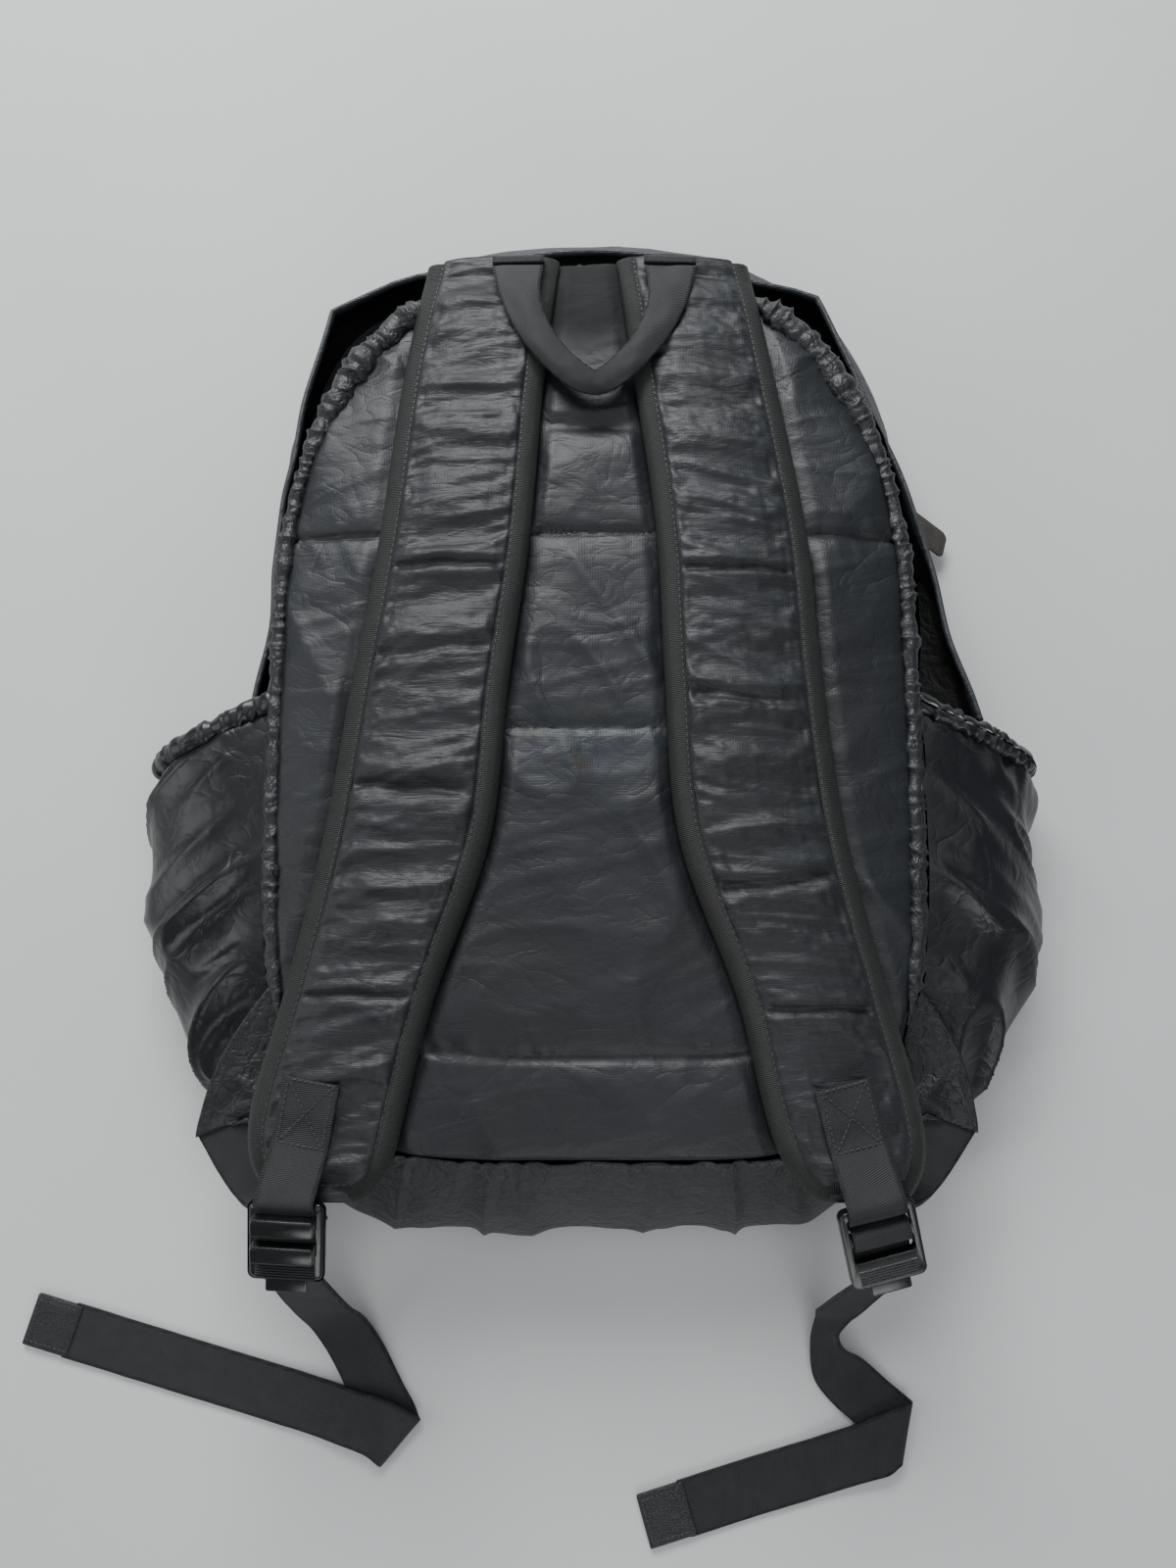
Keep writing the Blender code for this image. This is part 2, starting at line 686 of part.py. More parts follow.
def make_straps():
    pivots = {}
    for side in ("left", "right"):
        stub_low = STRAP_HINGE_Y + GAP
        free_high = STRAP_HINGE_Y - GAP
        layers = (
            ("backing", STRAP_SEAT, BACKING_TOP, "lining"),
            ("foam", FOAM_LOW, FOAM_TOP, "foam"),
            ("cover", COVER_LOW, COVER_TOP, "nylon"),
        )
        hinge_line = [strap_point(side, STRAP_HINGE_Y, edge, COVER_TOP + GAP) for edge in (-1, 0, 1)]
        hinge_place = hinge_line[1]
        hinge_place.z = max(point.z for point in hinge_line)
        hinge = pivot("strap_pivot_" + side, hinge_place)
        pivots[side] = hinge
        strap_layer("strap_top_" + side, side, STRAP_TOP_Y, stub_low, STRAP_SEAT, COVER_TOP, "nylon", None, 5)
        for name, low, high, finish in layers:
            strap_layer("strap_" + name + "_" + side, side, free_high, STRAP_END_Y, low, high, finish, hinge,
                        STRAP_ROWS)
        strap_binding("strap_binding_" + side, side, free_high, STRAP_END_Y, hinge, STRAP_ROWS)
    return pivots


# ---- webbing, buckles and tails ----

def ribbon(name, route, finish, carrier=None, per_span=3):
    """Flat webbing along a smooth route of points, each with the vector across the webbing there."""
    last = len(route) - 1
    centres = [Vector(point) for point, _ in route]
    ways = [Vector(way) for _, way in route]

    def at(values, spot):
        index = min(int(spot), last - 1)
        share = spot - index
        before = values[max(index - 1, 0)]
        start = values[index]
        end = values[index + 1]
        after = values[min(index + 2, last)]
        cubic = (start * 2 + (end - before) * share
                 + (before * 2 - start * 5 + end * 4 - after) * share ** 2
                 + (start * 3 - before - end * 3 + after) * share ** 3)
        return cubic * 0.5

    def place(across, along, up):
        spot = along * last
        step = 0.02
        ahead = at(centres, min(spot + step, last)) - at(centres, max(spot - step, 0.0))
        way = at(ways, spot)
        normal = way.cross(ahead).normalized()
        return at(centres, spot) + way * (across - 0.5) + normal * WEBBING * (up - 0.5)
    return slab(name, 1, last * per_span, place, finish, carrier)


BUCKLE_BAR_RISE = 1.4 * MM


def buckle_frame(side):
    data = BUCKLE_PLACES[side]
    turn = Euler((radians(BUCKLE_TILT), 0.0, radians(data["turn"])), "XYZ").to_matrix().to_4x4()
    bar = Vector((*data["bar"], SEAM_Z + COVER_TOP + BUCKLE_BAR_RISE))
    return Matrix.Translation(bar) @ turn


def cutter(name, frame, centre, size):
    mesh = bmesh.new()
    bmesh.ops.create_cube(mesh, size=1.0)
    bmesh.ops.scale(mesh, vec=size, verts=mesh.verts)
    data = bpy.data.meshes.new(name)
    mesh.to_mesh(data)
    mesh.free()
    piece = bpy.data.objects.new(name, data)
    CUTTERS.objects.link(piece)
    piece.matrix_world = frame @ Matrix.Translation(centre)
    piece.hide_render = True
    piece.display_type = "WIRE"
    return piece


def make_buckle(side, carrier):
    """A ladder lock: a frame with two slots. Its local origin is the bar that the loop holds."""
    frame = buckle_frame(side)
    hinge = pivot("buckle_pivot_" + side, frame.translation)
    carry(hinge, carrier)
    mesh = bmesh.new()
    bmesh.ops.create_cube(mesh, size=1.0)
    bmesh.ops.scale(mesh, vec=(BUCKLE_WIDTH, BUCKLE_LENGTH, BUCKLE_THICKNESS), verts=mesh.verts)
    middle = Vector((0.0, BUCKLE_BAR / 2 - BUCKLE_LENGTH / 2, 0.0))
    bmesh.ops.translate(mesh, vec=middle, verts=mesh.verts)
    upright = [edge for edge in mesh.edges if abs(edge.verts[0].co.z - edge.verts[1].co.z) > BUCKLE_BAR]
    bmesh.ops.bevel(mesh, geom=upright, offset=BUCKLE_CORNER, segments=3, affect="EDGES")
    data = bpy.data.meshes.new("ladder_lock_" + side)
    mesh.to_mesh(data)
    mesh.free()
    piece = add_piece("ladder_lock_" + side, data, "acetal")
    piece.matrix_world = frame
    slot_width = WEBBING_WIDTH + BUCKLE_SLOT_CLEARANCE
    slots = (-BUCKLE_BAR / 2 - BUCKLE_SLOT / 2, -BUCKLE_BAR * 1.5 - BUCKLE_SLOT * 1.5)
    for number, slot_y in enumerate(slots):
        slot = cutter(f"slot_{side}_{number}", frame, Vector((0.0, slot_y, 0.0)),
                      (slot_width, BUCKLE_SLOT, BUCKLE_THICKNESS * 2))
        cut = piece.modifiers.new(f"slot_{number}", "BOOLEAN")
        cut.operation = "DIFFERENCE"
        cut.object = slot
    tab_y = BUCKLE_BAR / 2 - BUCKLE_LENGTH - BUCKLE_TAB_REACH / 2 + MM
    tab = cutter(f"tab_{side}", frame, Vector((0.0, tab_y, -MM)),
                 (BUCKLE_WIDTH * BUCKLE_TAB_SHARE, BUCKLE_TAB_REACH + 2 * MM, BUCKLE_THICKNESS * 0.6))
    join = piece.modifiers.new("tab", "BOOLEAN")
    join.operation = "UNION"
    join.object = tab
    carry(piece, hinge)
    return hinge, frame


def in_frame(frame, points):
    """Route points from a buckle's own (along, up) places, straight across it."""
    across = frame.to_3x3() @ Vector((WEBBING_WIDTH, 0.0, 0.0))
    return [(frame @ Vector((0.0, along * MM, up * MM)), across) for along, up in points]


def make_strap_webbing(side, frame, carrier):
    """The patch sewn on the strap's end. It goes through the buckle's slot, round its bar and back."""
    turn = radians(PATCH_TURNS[side])
    down = Vector((sin(turn), -cos(turn), 0.0))
    across = Vector((cos(turn), sin(turn), 0.0)) * WEBBING_WIDTH
    start = frame.translation - down * PATCH_START * MM
    route = []
    for reach in PATCH_STEPS:
        middle = start + down * reach * MM
        ends = [middle - across / 2, middle + across / 2]
        for end in ends:
            end.z = back_height(end.x, end.y) + COVER_TOP + WEBBING / 2 + 3 * GAP
        route.append(((ends[0] + ends[1]) / 2, ends[1] - ends[0]))
    route += in_frame(frame, ((5, 4), (0, 4), (-3.2, 3.2), (-4.6, 0), (-3.2, -3.2), (0, -4)))
    ribbon("strap_webbing_" + side, route, "webbing", carrier)


def make_buckle_webbing(side, frame, carrier):
    """The stretch of the long webbing that is threaded over the buckle's middle bar."""
    route = in_frame(frame, ((-7.4, -5.5), (-7.6, -1), (-8.6, 3), (-12, 4.1), (-15.4, 3), (-16.6, -1),
                             (-19.5, -4.2), (-25, -4.6), (-35, -5.4)))
    ribbon("buckle_webbing_" + side, route, "webbing", carrier, per_span=2)
    return route[-1]


ANCHORS = {
    "left": {"start": (-172, -86, 47), "across": (23, 9, 2)},
    "right": {"start": (165, -84, 47), "across": (23, -9, -2)},
}


RUN_HINGE_LIFT = 3 * MM
RUN_TARGET = (2 * MM, -12 * MM, -12 * MM)
RUN_SAG = Vector((0.0, -12 * MM, -8 * MM))
WING_SEAM_HIGH = Vector((0.0, -20 * MM, 60 * MM))
WING_SEAM_LOW = Vector((0.0, -88 * MM, 52 * MM))


def make_anchor(side, frame):
    """The wing sewn into the side seam, and the webbing that runs from it under the strap's end."""
    flip = -1 if side == "left" else 1
    start = Vector(ANCHORS[side]["start"]) * MM
    across = Vector(ANCHORS[side]["across"]) * MM
    hinge = pivot("webbing_run_pivot_" + side, start + Vector((0.0, 0.0, RUN_HINGE_LIFT)))
    target = frame @ Vector((-flip * RUN_TARGET[0], RUN_TARGET[1], RUN_TARGET[2]))
    target_across = frame.to_3x3() @ Vector((WEBBING_WIDTH, 0.0, 0.0))
    middle = start.lerp(target, 0.5) + RUN_SAG
    route = [(start, across), (middle, across.lerp(target_across, 0.5)), (target, target_across)]
    ribbon("webbing_run_" + side, route, "webbing", hinge, per_span=4)
    back = Vector((-across.y, across.x, 0.0)).normalized()

    def place(share, along, up):
        seam = WING_SEAM_HIGH.lerp(WING_SEAM_LOW, share)
        seam.x = flip * (wall_x(seam.y, seam.z) + 4 * GAP)
        tip = start + back * 8 * GAP + across * flip * (0.5 - share)
        return seam.lerp(tip, along) + Vector((0.0, 0.0, FABRIC * (up - 0.5)))
    slab("anchor_wing_" + side, 6, 3, place, "nylon")


TAIL_HINGE_OFFSET = Vector((0.0, -1.2 * MM, 0.8 * MM))


def make_tail(side, outlet, carrier):
    """The free end of the webbing, which lies on the floor, and its sewn leather tab."""
    end, across = outlet
    first = Vector(TAIL_ROUTES[side][0][0]) * MM
    start = end + (first - end).normalized() * 0.8 * MM
    route = [(start, across)] + [(Vector(point) * MM, Vector(way) * MM) for point, way in TAIL_ROUTES[side]]
    swing = pivot("tail_pivot_" + side, start + TAIL_HINGE_OFFSET)
    carry(swing, carrier)
    ribbon("tail_webbing_" + side, route, "webbing", swing, per_span=2)
    along = (route[-1][0] - route[-2][0]).normalized()
    heading = atan2(along.y, along.x)
    middle = route[-1][0] + along * (3 * GAP + TAB_LENGTH / 2)
    tab_size = (TAB_LENGTH, WEBBING_WIDTH - MM, TAB_THICKNESS)
    box("tail_tab_" + side, (middle.x, middle.y, TAB_THICKNESS / 2), tab_size, "leather", swing,
        turn=(0.0, 0.0, heading))


# ---- grab handle ----

HANDLE_Y = 327 * MM
HANDLE_DROP = 74 * MM
HANDLE_HALF_WIDTH = 37 * MM
HANDLE_GRIP_WIDTH = 13 * MM
HANDLE_THICKNESS = 3 * MM
HANDLE_LIFT = COVER_TOP + 0.8 * MM
HANDLE_END_GAP = 1.2 * MM
HANDLE_END_LENGTH = 9 * MM
HANDLE_GRIP_SHARE = 0.55


def make_handle():
    """A webbing loop that hangs between the straps. It narrows from its sewn ends to its grip."""
    def route(share):
        angle = pi * share
        x = -HANDLE_HALF_WIDTH * cos(angle) * mix(HANDLE_GRIP_SHARE, 1.0, abs(cos(angle)) ** 2)
        y = HANDLE_Y - HANDLE_DROP * sin(angle) ** 0.8 if 0 < share < 1 else HANDLE_Y
        return Vector((x, y, 0.0))

    def place(across, along, up):
        point = route(along)
        ahead = route(min(along + 0.01, 1.0)) - route(max(along - 0.01, 0.0))
        side = Vector((-ahead.y, ahead.x, 0.0)).normalized()
        ending = abs(2 * along - 1) ** 5
        half = 1.0 if along < 0.5 else -1.0
        end_side = half if side.x * (0.5 - along) >= 0 else -half
        side = side.lerp(Vector((end_side, 0.0, 0.0)), ending)
        width = mix(HANDLE_GRIP_WIDTH, WEBBING_WIDTH, ending)
        point += side.normalized() * width * (across - 0.5)
        base = back_height(point.x, min(point.y, HANDLE_Y)) + HANDLE_LIFT
        return Vector((point.x, point.y, base + HANDLE_THICKNESS * up))
    hinge_z = back_height(HANDLE_HALF_WIDTH - WEBBING_WIDTH / 2, HANDLE_Y) + HANDLE_LIFT + HANDLE_THICKNESS
    hinge = pivot("handle_pivot", (0.0, HANDLE_Y, hinge_z))
    slab("grab_handle", 2, 28, place, "webbing", hinge)
    for side, flip in (("left", -1), ("right", 1)):
        def place_end(across, along, up):
            x = flip * HANDLE_HALF_WIDTH + (across - 0.5) * WEBBING_WIDTH
            y = HANDLE_Y + HANDLE_END_GAP + HANDLE_END_LENGTH * along
            base = back_height(x, y) + mix(HANDLE_LIFT, MM, max(2 * along - 1, 0))
            return Vector((x, y, base + HANDLE_THICKNESS * up))
        slab("handle_end_" + side, 2, 2, place_end, "webbing")


make_wall()
make_back_panel()
make_edge_bands()
make_front_panel()
make_opening_panel()
make_zip()
make_slider()
make_rim()
make_lining()
make_pockets()
strap_pivots = make_straps()
for strap_side, strap_pivot in strap_pivots.items():
    buckle_pivot, lock_frame = make_buckle(strap_side, strap_pivot)
    make_strap_webbing(strap_side, lock_frame, strap_pivot)
    make_anchor(strap_side, lock_frame)
    webbing_outlet = make_buckle_webbing(strap_side, lock_frame, buckle_pivot)
    make_tail(strap_side, webbing_outlet, buckle_pivot)
make_handle()
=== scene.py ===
"""A nylon daypack that lies on its front, with its harness side up."""

from math import cos, pi, radians, sin

import bpy
import numpy as np
from mathutils import Matrix, Vector


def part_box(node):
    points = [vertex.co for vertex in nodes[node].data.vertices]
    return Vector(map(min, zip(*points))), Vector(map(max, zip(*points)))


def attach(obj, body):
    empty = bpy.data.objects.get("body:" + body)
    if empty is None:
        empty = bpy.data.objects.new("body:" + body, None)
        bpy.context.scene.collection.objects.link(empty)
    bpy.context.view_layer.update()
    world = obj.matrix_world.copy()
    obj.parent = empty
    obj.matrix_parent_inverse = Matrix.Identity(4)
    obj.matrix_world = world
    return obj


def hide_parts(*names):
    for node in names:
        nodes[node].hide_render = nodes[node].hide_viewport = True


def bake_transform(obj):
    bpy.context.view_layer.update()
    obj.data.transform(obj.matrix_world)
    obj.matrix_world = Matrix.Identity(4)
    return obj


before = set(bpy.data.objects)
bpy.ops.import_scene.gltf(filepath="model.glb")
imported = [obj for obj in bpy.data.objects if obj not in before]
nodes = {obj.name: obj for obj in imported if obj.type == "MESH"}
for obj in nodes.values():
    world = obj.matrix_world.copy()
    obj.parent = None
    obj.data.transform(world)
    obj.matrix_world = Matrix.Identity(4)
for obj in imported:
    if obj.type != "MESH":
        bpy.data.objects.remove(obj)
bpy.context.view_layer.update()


# ---- Inner linings and padding ----
# The linings are thin black cloth sewn in with the seams, and the padding is sheet foam between the
# back panel and its lining. All of it keeps its solids, and only its cloth and foam are finished here.

class Shade:
    """A socket of a material that is being built. Arithmetic on it adds Math nodes."""

    def __init__(self, finish, socket):
        self.finish = finish
        self.socket = socket

    def math(self, operation, first, second=0.0):
        node = self.finish.node("ShaderNodeMath", {"operation": operation}, {0: first, 1: second})
        return node.out(0)

    def __add__(self, other):
        return self.math("ADD", self, other)

    def __radd__(self, other):
        return self.math("ADD", other, self)

    def __sub__(self, other):
        return self.math("SUBTRACT", self, other)

    def __rsub__(self, other):
        return self.math("SUBTRACT", other, self)

    def __mul__(self, other):
        return self.math("MULTIPLY", self, other)

    def __rmul__(self, other):
        return self.math("MULTIPLY", other, self)

    def __pow__(self, other):
        return self.math("POWER", self, other)

    def sine(self):
        return self.math("SINE", self)

    def size(self):
        return self.math("ABSOLUTE", self)

    def above(self, limit):
        return self.math("GREATER_THAN", self, limit)

    def kept(self):
        """The value, held between 0 and 1."""
        return self.finish.node("ShaderNodeClamp", {}, {"Value": self}).out(0)


class ShadeNode:
    def __init__(self, finish, node):
        self.finish = finish
        self.node = node

    def out(self, name):
        return Shade(self.finish, self.node.outputs[name])


class Finish:
    """A material: a Principled surface, and the nodes that vary it."""

    def __init__(self, name, colour, roughness, metallic=0.0, sheen=0.0, specular=0.5):
        self.material = bpy.data.materials.new(name)
        self.material.use_nodes = True
        self.tree = self.material.node_tree
        self.surface = self.tree.nodes["Principled BSDF"]
        self.colour = colour
        self.surface.inputs["Base Color"].default_value = (*colour, 1.0)
        self.surface.inputs["Roughness"].default_value = roughness
        self.surface.inputs["Metallic"].default_value = metallic
        self.surface.inputs["Sheen Weight"].default_value = sheen
        self.surface.inputs["Specular IOR Level"].default_value = specular

    def node(self, kind, settings, inputs):
        made = self.tree.nodes.new(kind)
        for name, value in settings.items():
            if name == "stops":
                for index, (place, colour) in enumerate(value):
                    stops = made.color_ramp.elements
                    stop = stops[index] if index < len(stops) else stops.new(place)
                    stop.position = place
                    stop.color = (*colour, 1.0)
            else:
                setattr(made, name, value)
        for name, value in inputs.items():
            if isinstance(value, Shade):
                self.tree.links.new(value.socket, made.inputs[name])
            else:
                made.inputs[name].default_value = value
        return ShadeNode(self, made)

    def places(self, stretch=(1.0, 1.0, 1.0), turn=0.0):
        """Object coordinates, in metres, stretched and turned about Z."""
        source = self.node("ShaderNodeTexCoord", {}, {}).out("Object")
        return self.node("ShaderNodeMapping", {}, {"Vector": source, "Rotation": (0.0, 0.0, turn),
                                                   "Scale": stretch}).out("Vector")

    def cloth_places(self):
        """The distances along and across the cloth, in metres, from the piece's own UV map."""
        unrolled = self.node("ShaderNodeUVMap", {}, {}).out("UV")
        split = self.node("ShaderNodeSeparateXYZ", {}, {"Vector": unrolled})
        return split.out("X"), split.out("Y")

    def noise(self, places, scale, detail=3.0, distortion=0.0):
        inputs = {"Vector": places, "Scale": scale, "Detail": detail, "Distortion": distortion}
        return self.node("ShaderNodeTexNoise", {}, inputs).out("Fac")

    def ramp(self, value, stops):
        return self.node("ShaderNodeValToRGB", {"stops": stops}, {"Fac": value}).out("Color")

    def mixed(self, share, first, second):
        """A colour between two others."""
        return self.node("ShaderNodeMix", {"data_type": "RGBA"}, {0: share, 6: first, 7: second}).out(2)

    def feed(self, socket, value):
        self.tree.links.new(value.socket, self.surface.inputs[socket])

    def bump(self, height, distance, strength=1.0):
        before = self.surface.inputs["Normal"].links
        inputs = {"Height": height, "Distance": distance, "Strength": strength}
        if before:
            inputs["Normal"] = Shade(self, before[0].from_socket)
        self.feed("Normal", self.node("ShaderNodeBump", {}, inputs).out("Normal"))

    def weave(self, places, pitch, depth, strength=0.5):
        """A plain weave: fine waves across the cloth both ways, pitch to a metre."""
        split = self.node("ShaderNodeSeparateXYZ", {}, {"Vector": places})
        self.bump((split.out("X") * pitch).sine() + (split.out("Y") * pitch).sine(), depth, strength)

    def leather_grain(self, places, scale):
        settings = {"feature": "DISTANCE_TO_EDGE"}
        grain = self.node("ShaderNodeTexVoronoi", settings, {"Vector": places, "Scale": scale})
        self.bump(grain.out("Distance"), 0.0004)

    def shades(self, value, low, high):
        """Base colour that runs from low to high times the finish's own, with the value."""
        dark = tuple(part * low for part in self.colour)
        light = tuple(part * high for part in self.colour)
        self.feed("Base Color", self.ramp(value, [(0.25, dark), (0.75, light)]))


def crumpled(finish, places, scale, depth, stretch=(1.0, 1.0, 1.0), turn=0.0):
    """Sharp crease lines of thin stiff cloth at two sizes, drawn out along one way by the stretch."""
    inputs = {"Vector": places, "Rotation": (0.0, 0.0, turn), "Scale": stretch}
    moved = finish.node("ShaderNodeMapping", {}, inputs).out("Vector")
    for finer, share in ((1.0, 1.0), (2.6, 0.5)):
        folds = finish.noise(moved, scale * finer, 2.0, 0.7)
        finish.bump((folds - 0.5).size() ** 0.6, depth * share)


def make_lining_finish():
    finish = Finish("lining_cloth", (0.0050, 0.0050, 0.0055), 0.62)
    places = finish.places()
    finish.shades(finish.noise(places, 60.0), 0.7, 1.4)
    crumpled(finish, places, 60.0, 0.0010)
    return finish.material


def make_foam_finish():
    finish = Finish("grey_foam", (0.22, 0.22, 0.22), 0.9)
    places = finish.places()
    cells = finish.noise(places, 1500.0, 2.0)
    finish.shades(cells, 0.8, 1.2)
    finish.bump(cells, 0.0004)
    return finish.material


def finish_node(name, material):
    """Gives a kept solid its material."""
    piece = nodes[name]
    piece.data.materials.clear()
    piece.data.materials.append(material)


lining_cloth = make_lining_finish()
grey_foam = make_foam_finish()
for kept in ("pouch_lining", "panel_lining"):
    finish_node(kept, lining_cloth)


# ---- Wall of the bag ----
# Satin nylon panels round the bag: two sides and a gathered bottom, the arch's gusset above the zip,
# and the opening panel's own gusset below it. Their seams pull the cloth into small puckers.

ORIGIN_Y = 0.150
FOLD_Y = 0.100
MIDDLE_Z = 0.022
SEAM_Z = 0.078
CROWN = 0.018
LEVELS = (0.0, MIDDLE_Z, SEAM_Z)
HALF_WIDTHS = (0.150, 0.158, 0.145)
TOPS = (0.346, 0.352, 0.331)
BOTTOMS = (-0.116, -0.130, -0.098)
SQUARENESS = (4.0, 4.0, 2.2)
BASE_SQUARENESS = 5.0
UP = np.array((0.0, 0.0, 1.0))
ARCH_START = np.arctan2(FOLD_Y - ORIGIN_Y, HALF_WIDTHS[1])
ARCH_END = pi - ARCH_START
CORNER = radians(-62)
ARCH_LOW = 0.0221
ARCH_INSET = 0.012
WALL_TOP = 0.0765
WALL_FOOT = 0.002
WALL_GAP = 0.002
LINING_GAP = 0.0032
WALL_CLOTH = 0.0008
MEAN_RADIUS = 0.19
NYLON_WEAVE = 9000.0
WEAVE_DEPTH = 0.00003


def plan_radius(angle, height):
    """Distance from the plan's middle to the wall, at an angle from +X and a height."""
    half_width = np.interp(height, LEVELS, HALF_WIDTHS)
    upper = np.interp(height, LEVELS, TOPS) - ORIGIN_Y
    lower = ORIGIN_Y - np.interp(height, LEVELS, BOTTOMS)
    reach = np.where(np.sin(angle) >= 0, upper, lower)
    power = np.where(np.sin(angle) >= 0, np.interp(height, LEVELS, SQUARENESS), BASE_SQUARENESS)
    across = (np.abs(np.cos(angle)) / half_width) ** power
    along = (np.abs(np.sin(angle)) / reach) ** power
    return (across + along) ** (-1.0 / power)


def wall_points(angle, height, outward=0.0):
    """Places on the wall, or a little outward of it."""
    radius = plan_radius(angle, height) + outward
    flat = np.broadcast_arrays(radius * np.cos(angle), ORIGIN_Y + radius * np.sin(angle), height)
    return np.stack(flat, axis=-1)


def ripple(along, across, size, seed):
    """Smooth random heights from -1 to 1 over a lattice. size is its spacing along and across, in metres."""
    lattice = np.random.default_rng(seed).uniform(-1.0, 1.0, (97, 89))
    first = along / size[0] + 31.3
    second = across / size[1] + 23.7
    row = np.floor(first).astype(int)
    column = np.floor(second).astype(int)
    down = first - row
    right = second - column
    down = down * down * (3.0 - 2.0 * down)
    right = right * right * (3.0 - 2.0 * right)
    last = (column + 1) % 89
    near = lattice[row % 97, column % 89] * (1 - right) + lattice[row % 97, last] * right
    far = lattice[(row + 1) % 97, column % 89] * (1 - right) + lattice[(row + 1) % 97, last] * right
    return near * (1 - down) + far * down


def creases(along, across, size, seed):
    """Sharp ridges with soft valleys, from 0 to 1, bent by a wider ripple."""
    bend = ripple(along, across, (size[0] * 2.6, size[1] * 1.4), seed + 50) * size[0] * 0.9
    return (1.0 - np.abs(ripple(along + bend, across, size, seed))) ** 2.5


def on_all(operation, **values):
    """Runs a mesh operator on the whole of the active piece."""
    bpy.ops.object.mode_set(mode="EDIT")
    bpy.ops.mesh.select_all(action="SELECT")
    operation(**values)
    bpy.ops.object.mode_set(mode="OBJECT")


def cloth(name, points, thickness, size=(1.0, 1.0), inside=None, joined=False, offset=-1.0):
    """A grid of points as cloth: rows run along it and columns across, and its UV map is in metres."""
    rows, columns = points.shape[:2]
    bpy.ops.object.select_all(action="DESELECT")
    bpy.ops.mesh.primitive_grid_add(x_subdivisions=columns - 1, y_subdivisions=rows - 1, size=1.0)
    piece = bpy.context.object
    piece.name = name
    mesh = piece.data
    mesh.vertices.foreach_set("co", np.ascontiguousarray(points, dtype=np.float32).reshape(-1))
    places = np.empty(len(mesh.loops) * 2, dtype=np.float32)
    mesh.uv_layers[0].data.foreach_get("uv", places)
    places = places.reshape(-1, 2) * np.array(size, dtype=np.float32)
    mesh.uv_layers[0].data.foreach_set("uv", places.reshape(-1))
    mesh.update()
    if joined:
        on_all(bpy.ops.mesh.remove_doubles, threshold=0.00001)
    if inside is not None:
        face_out(mesh, inside)
    bpy.ops.object.shade_smooth()
    if thickness > 0:
        wall = piece.modifiers.new("thickness", "SOLIDIFY")
        wall.thickness = thickness
        wall.offset = offset
        bpy.ops.object.modifier_apply(modifier=wall.name)
    return piece


def face_out(mesh, inside):
    """Turns the faces over when they look towards the inside."""
    count = len(mesh.polygons)
    normals = np.empty(count * 3)
    centres = np.empty(count * 3)
    mesh.polygons.foreach_get("normal", normals)
    mesh.polygons.foreach_get("center", centres)
    away = centres.reshape(-1, 3) - np.array(inside)
    if (normals.reshape(-1, 3) * away).sum() < 0:
        mesh.flip_normals()


def dress(piece, material, body, slot, *replaced):
    """Gives a finished piece its material and its body, and hides the solids that it stands for. The slot is
    not used.
    """
    piece.data.materials.clear()
    piece.data.materials.append(material)
    if body is not None:
        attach(piece, body)
    if replaced:
        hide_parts(*replaced)
    return piece


def make_nylon_finish():
    finish = Finish("satin_nylon", (0.0120, 0.0135, 0.0150), 0.46)
    places = finish.places()
    patches = finish.noise(places, 14.0, 4.0, 0.8)
    finish.shades(patches, 0.78, 1.30)
    finish.feed("Roughness", 0.36 + 0.16 * finish.noise(places, 40.0, 2.0))
    crumpled(finish, places, 60.0, 0.0016)
    finish.weave(places, NYLON_WEAVE, WEAVE_DEPTH)
    return finish.material


satin_nylon = make_nylon_finish()
BAG_MIDDLE = (0.0, 0.12, 0.04)


def wall_cloth(name, low, high, start, end, columns, rows, inset, puff, seed):
    """A strip of wall between two heights and two angles, puckered at its upper seam."""
    angle, share = np.meshgrid(np.linspace(start, end, columns), np.linspace(0.0, 1.0, rows))
    height = low + (high - low) * share
    length = angle * MEAN_RADIUS
    edge = np.sin(pi * np.clip(share, 0, 1)) ** 0.6
    pucker = creases(length, height, (0.0055, 0.05), seed) * 0.0016 * share ** 3
    fold = creases(length, height * 0.4, (0.013, 0.06), seed + 1) * puff * edge
    soft = ripple(length, height, (0.045, 0.05), seed + 2) * puff * 0.5 * edge
    return cloth(name, wall_points(angle, height, fold + soft + pucker - inset(height)), WALL_CLOTH,
                 size=(abs(end - start) * MEAN_RADIUS, high - low), inside=BAG_MIDDLE)


def no_inset(height):
    return 0.0


def bottom_puff(height):
    """The bottom panel swells out under its seam, as a negative inset."""
    belly = np.sin(pi * np.clip(height / SEAM_Z, 0, 1)) ** 0.8
    return -0.0075 * belly * np.clip((SEAM_Z - height) / 0.008, 0, 1) ** 0.5


def arch_inset(height):
    """The wall leans in under the back panel's seam, towards the zip."""
    return ARCH_INSET * (SEAM_Z - height) / (SEAM_Z - MIDDLE_Z)


def lining_inset(height):
    return arch_inset(height) + LINING_GAP


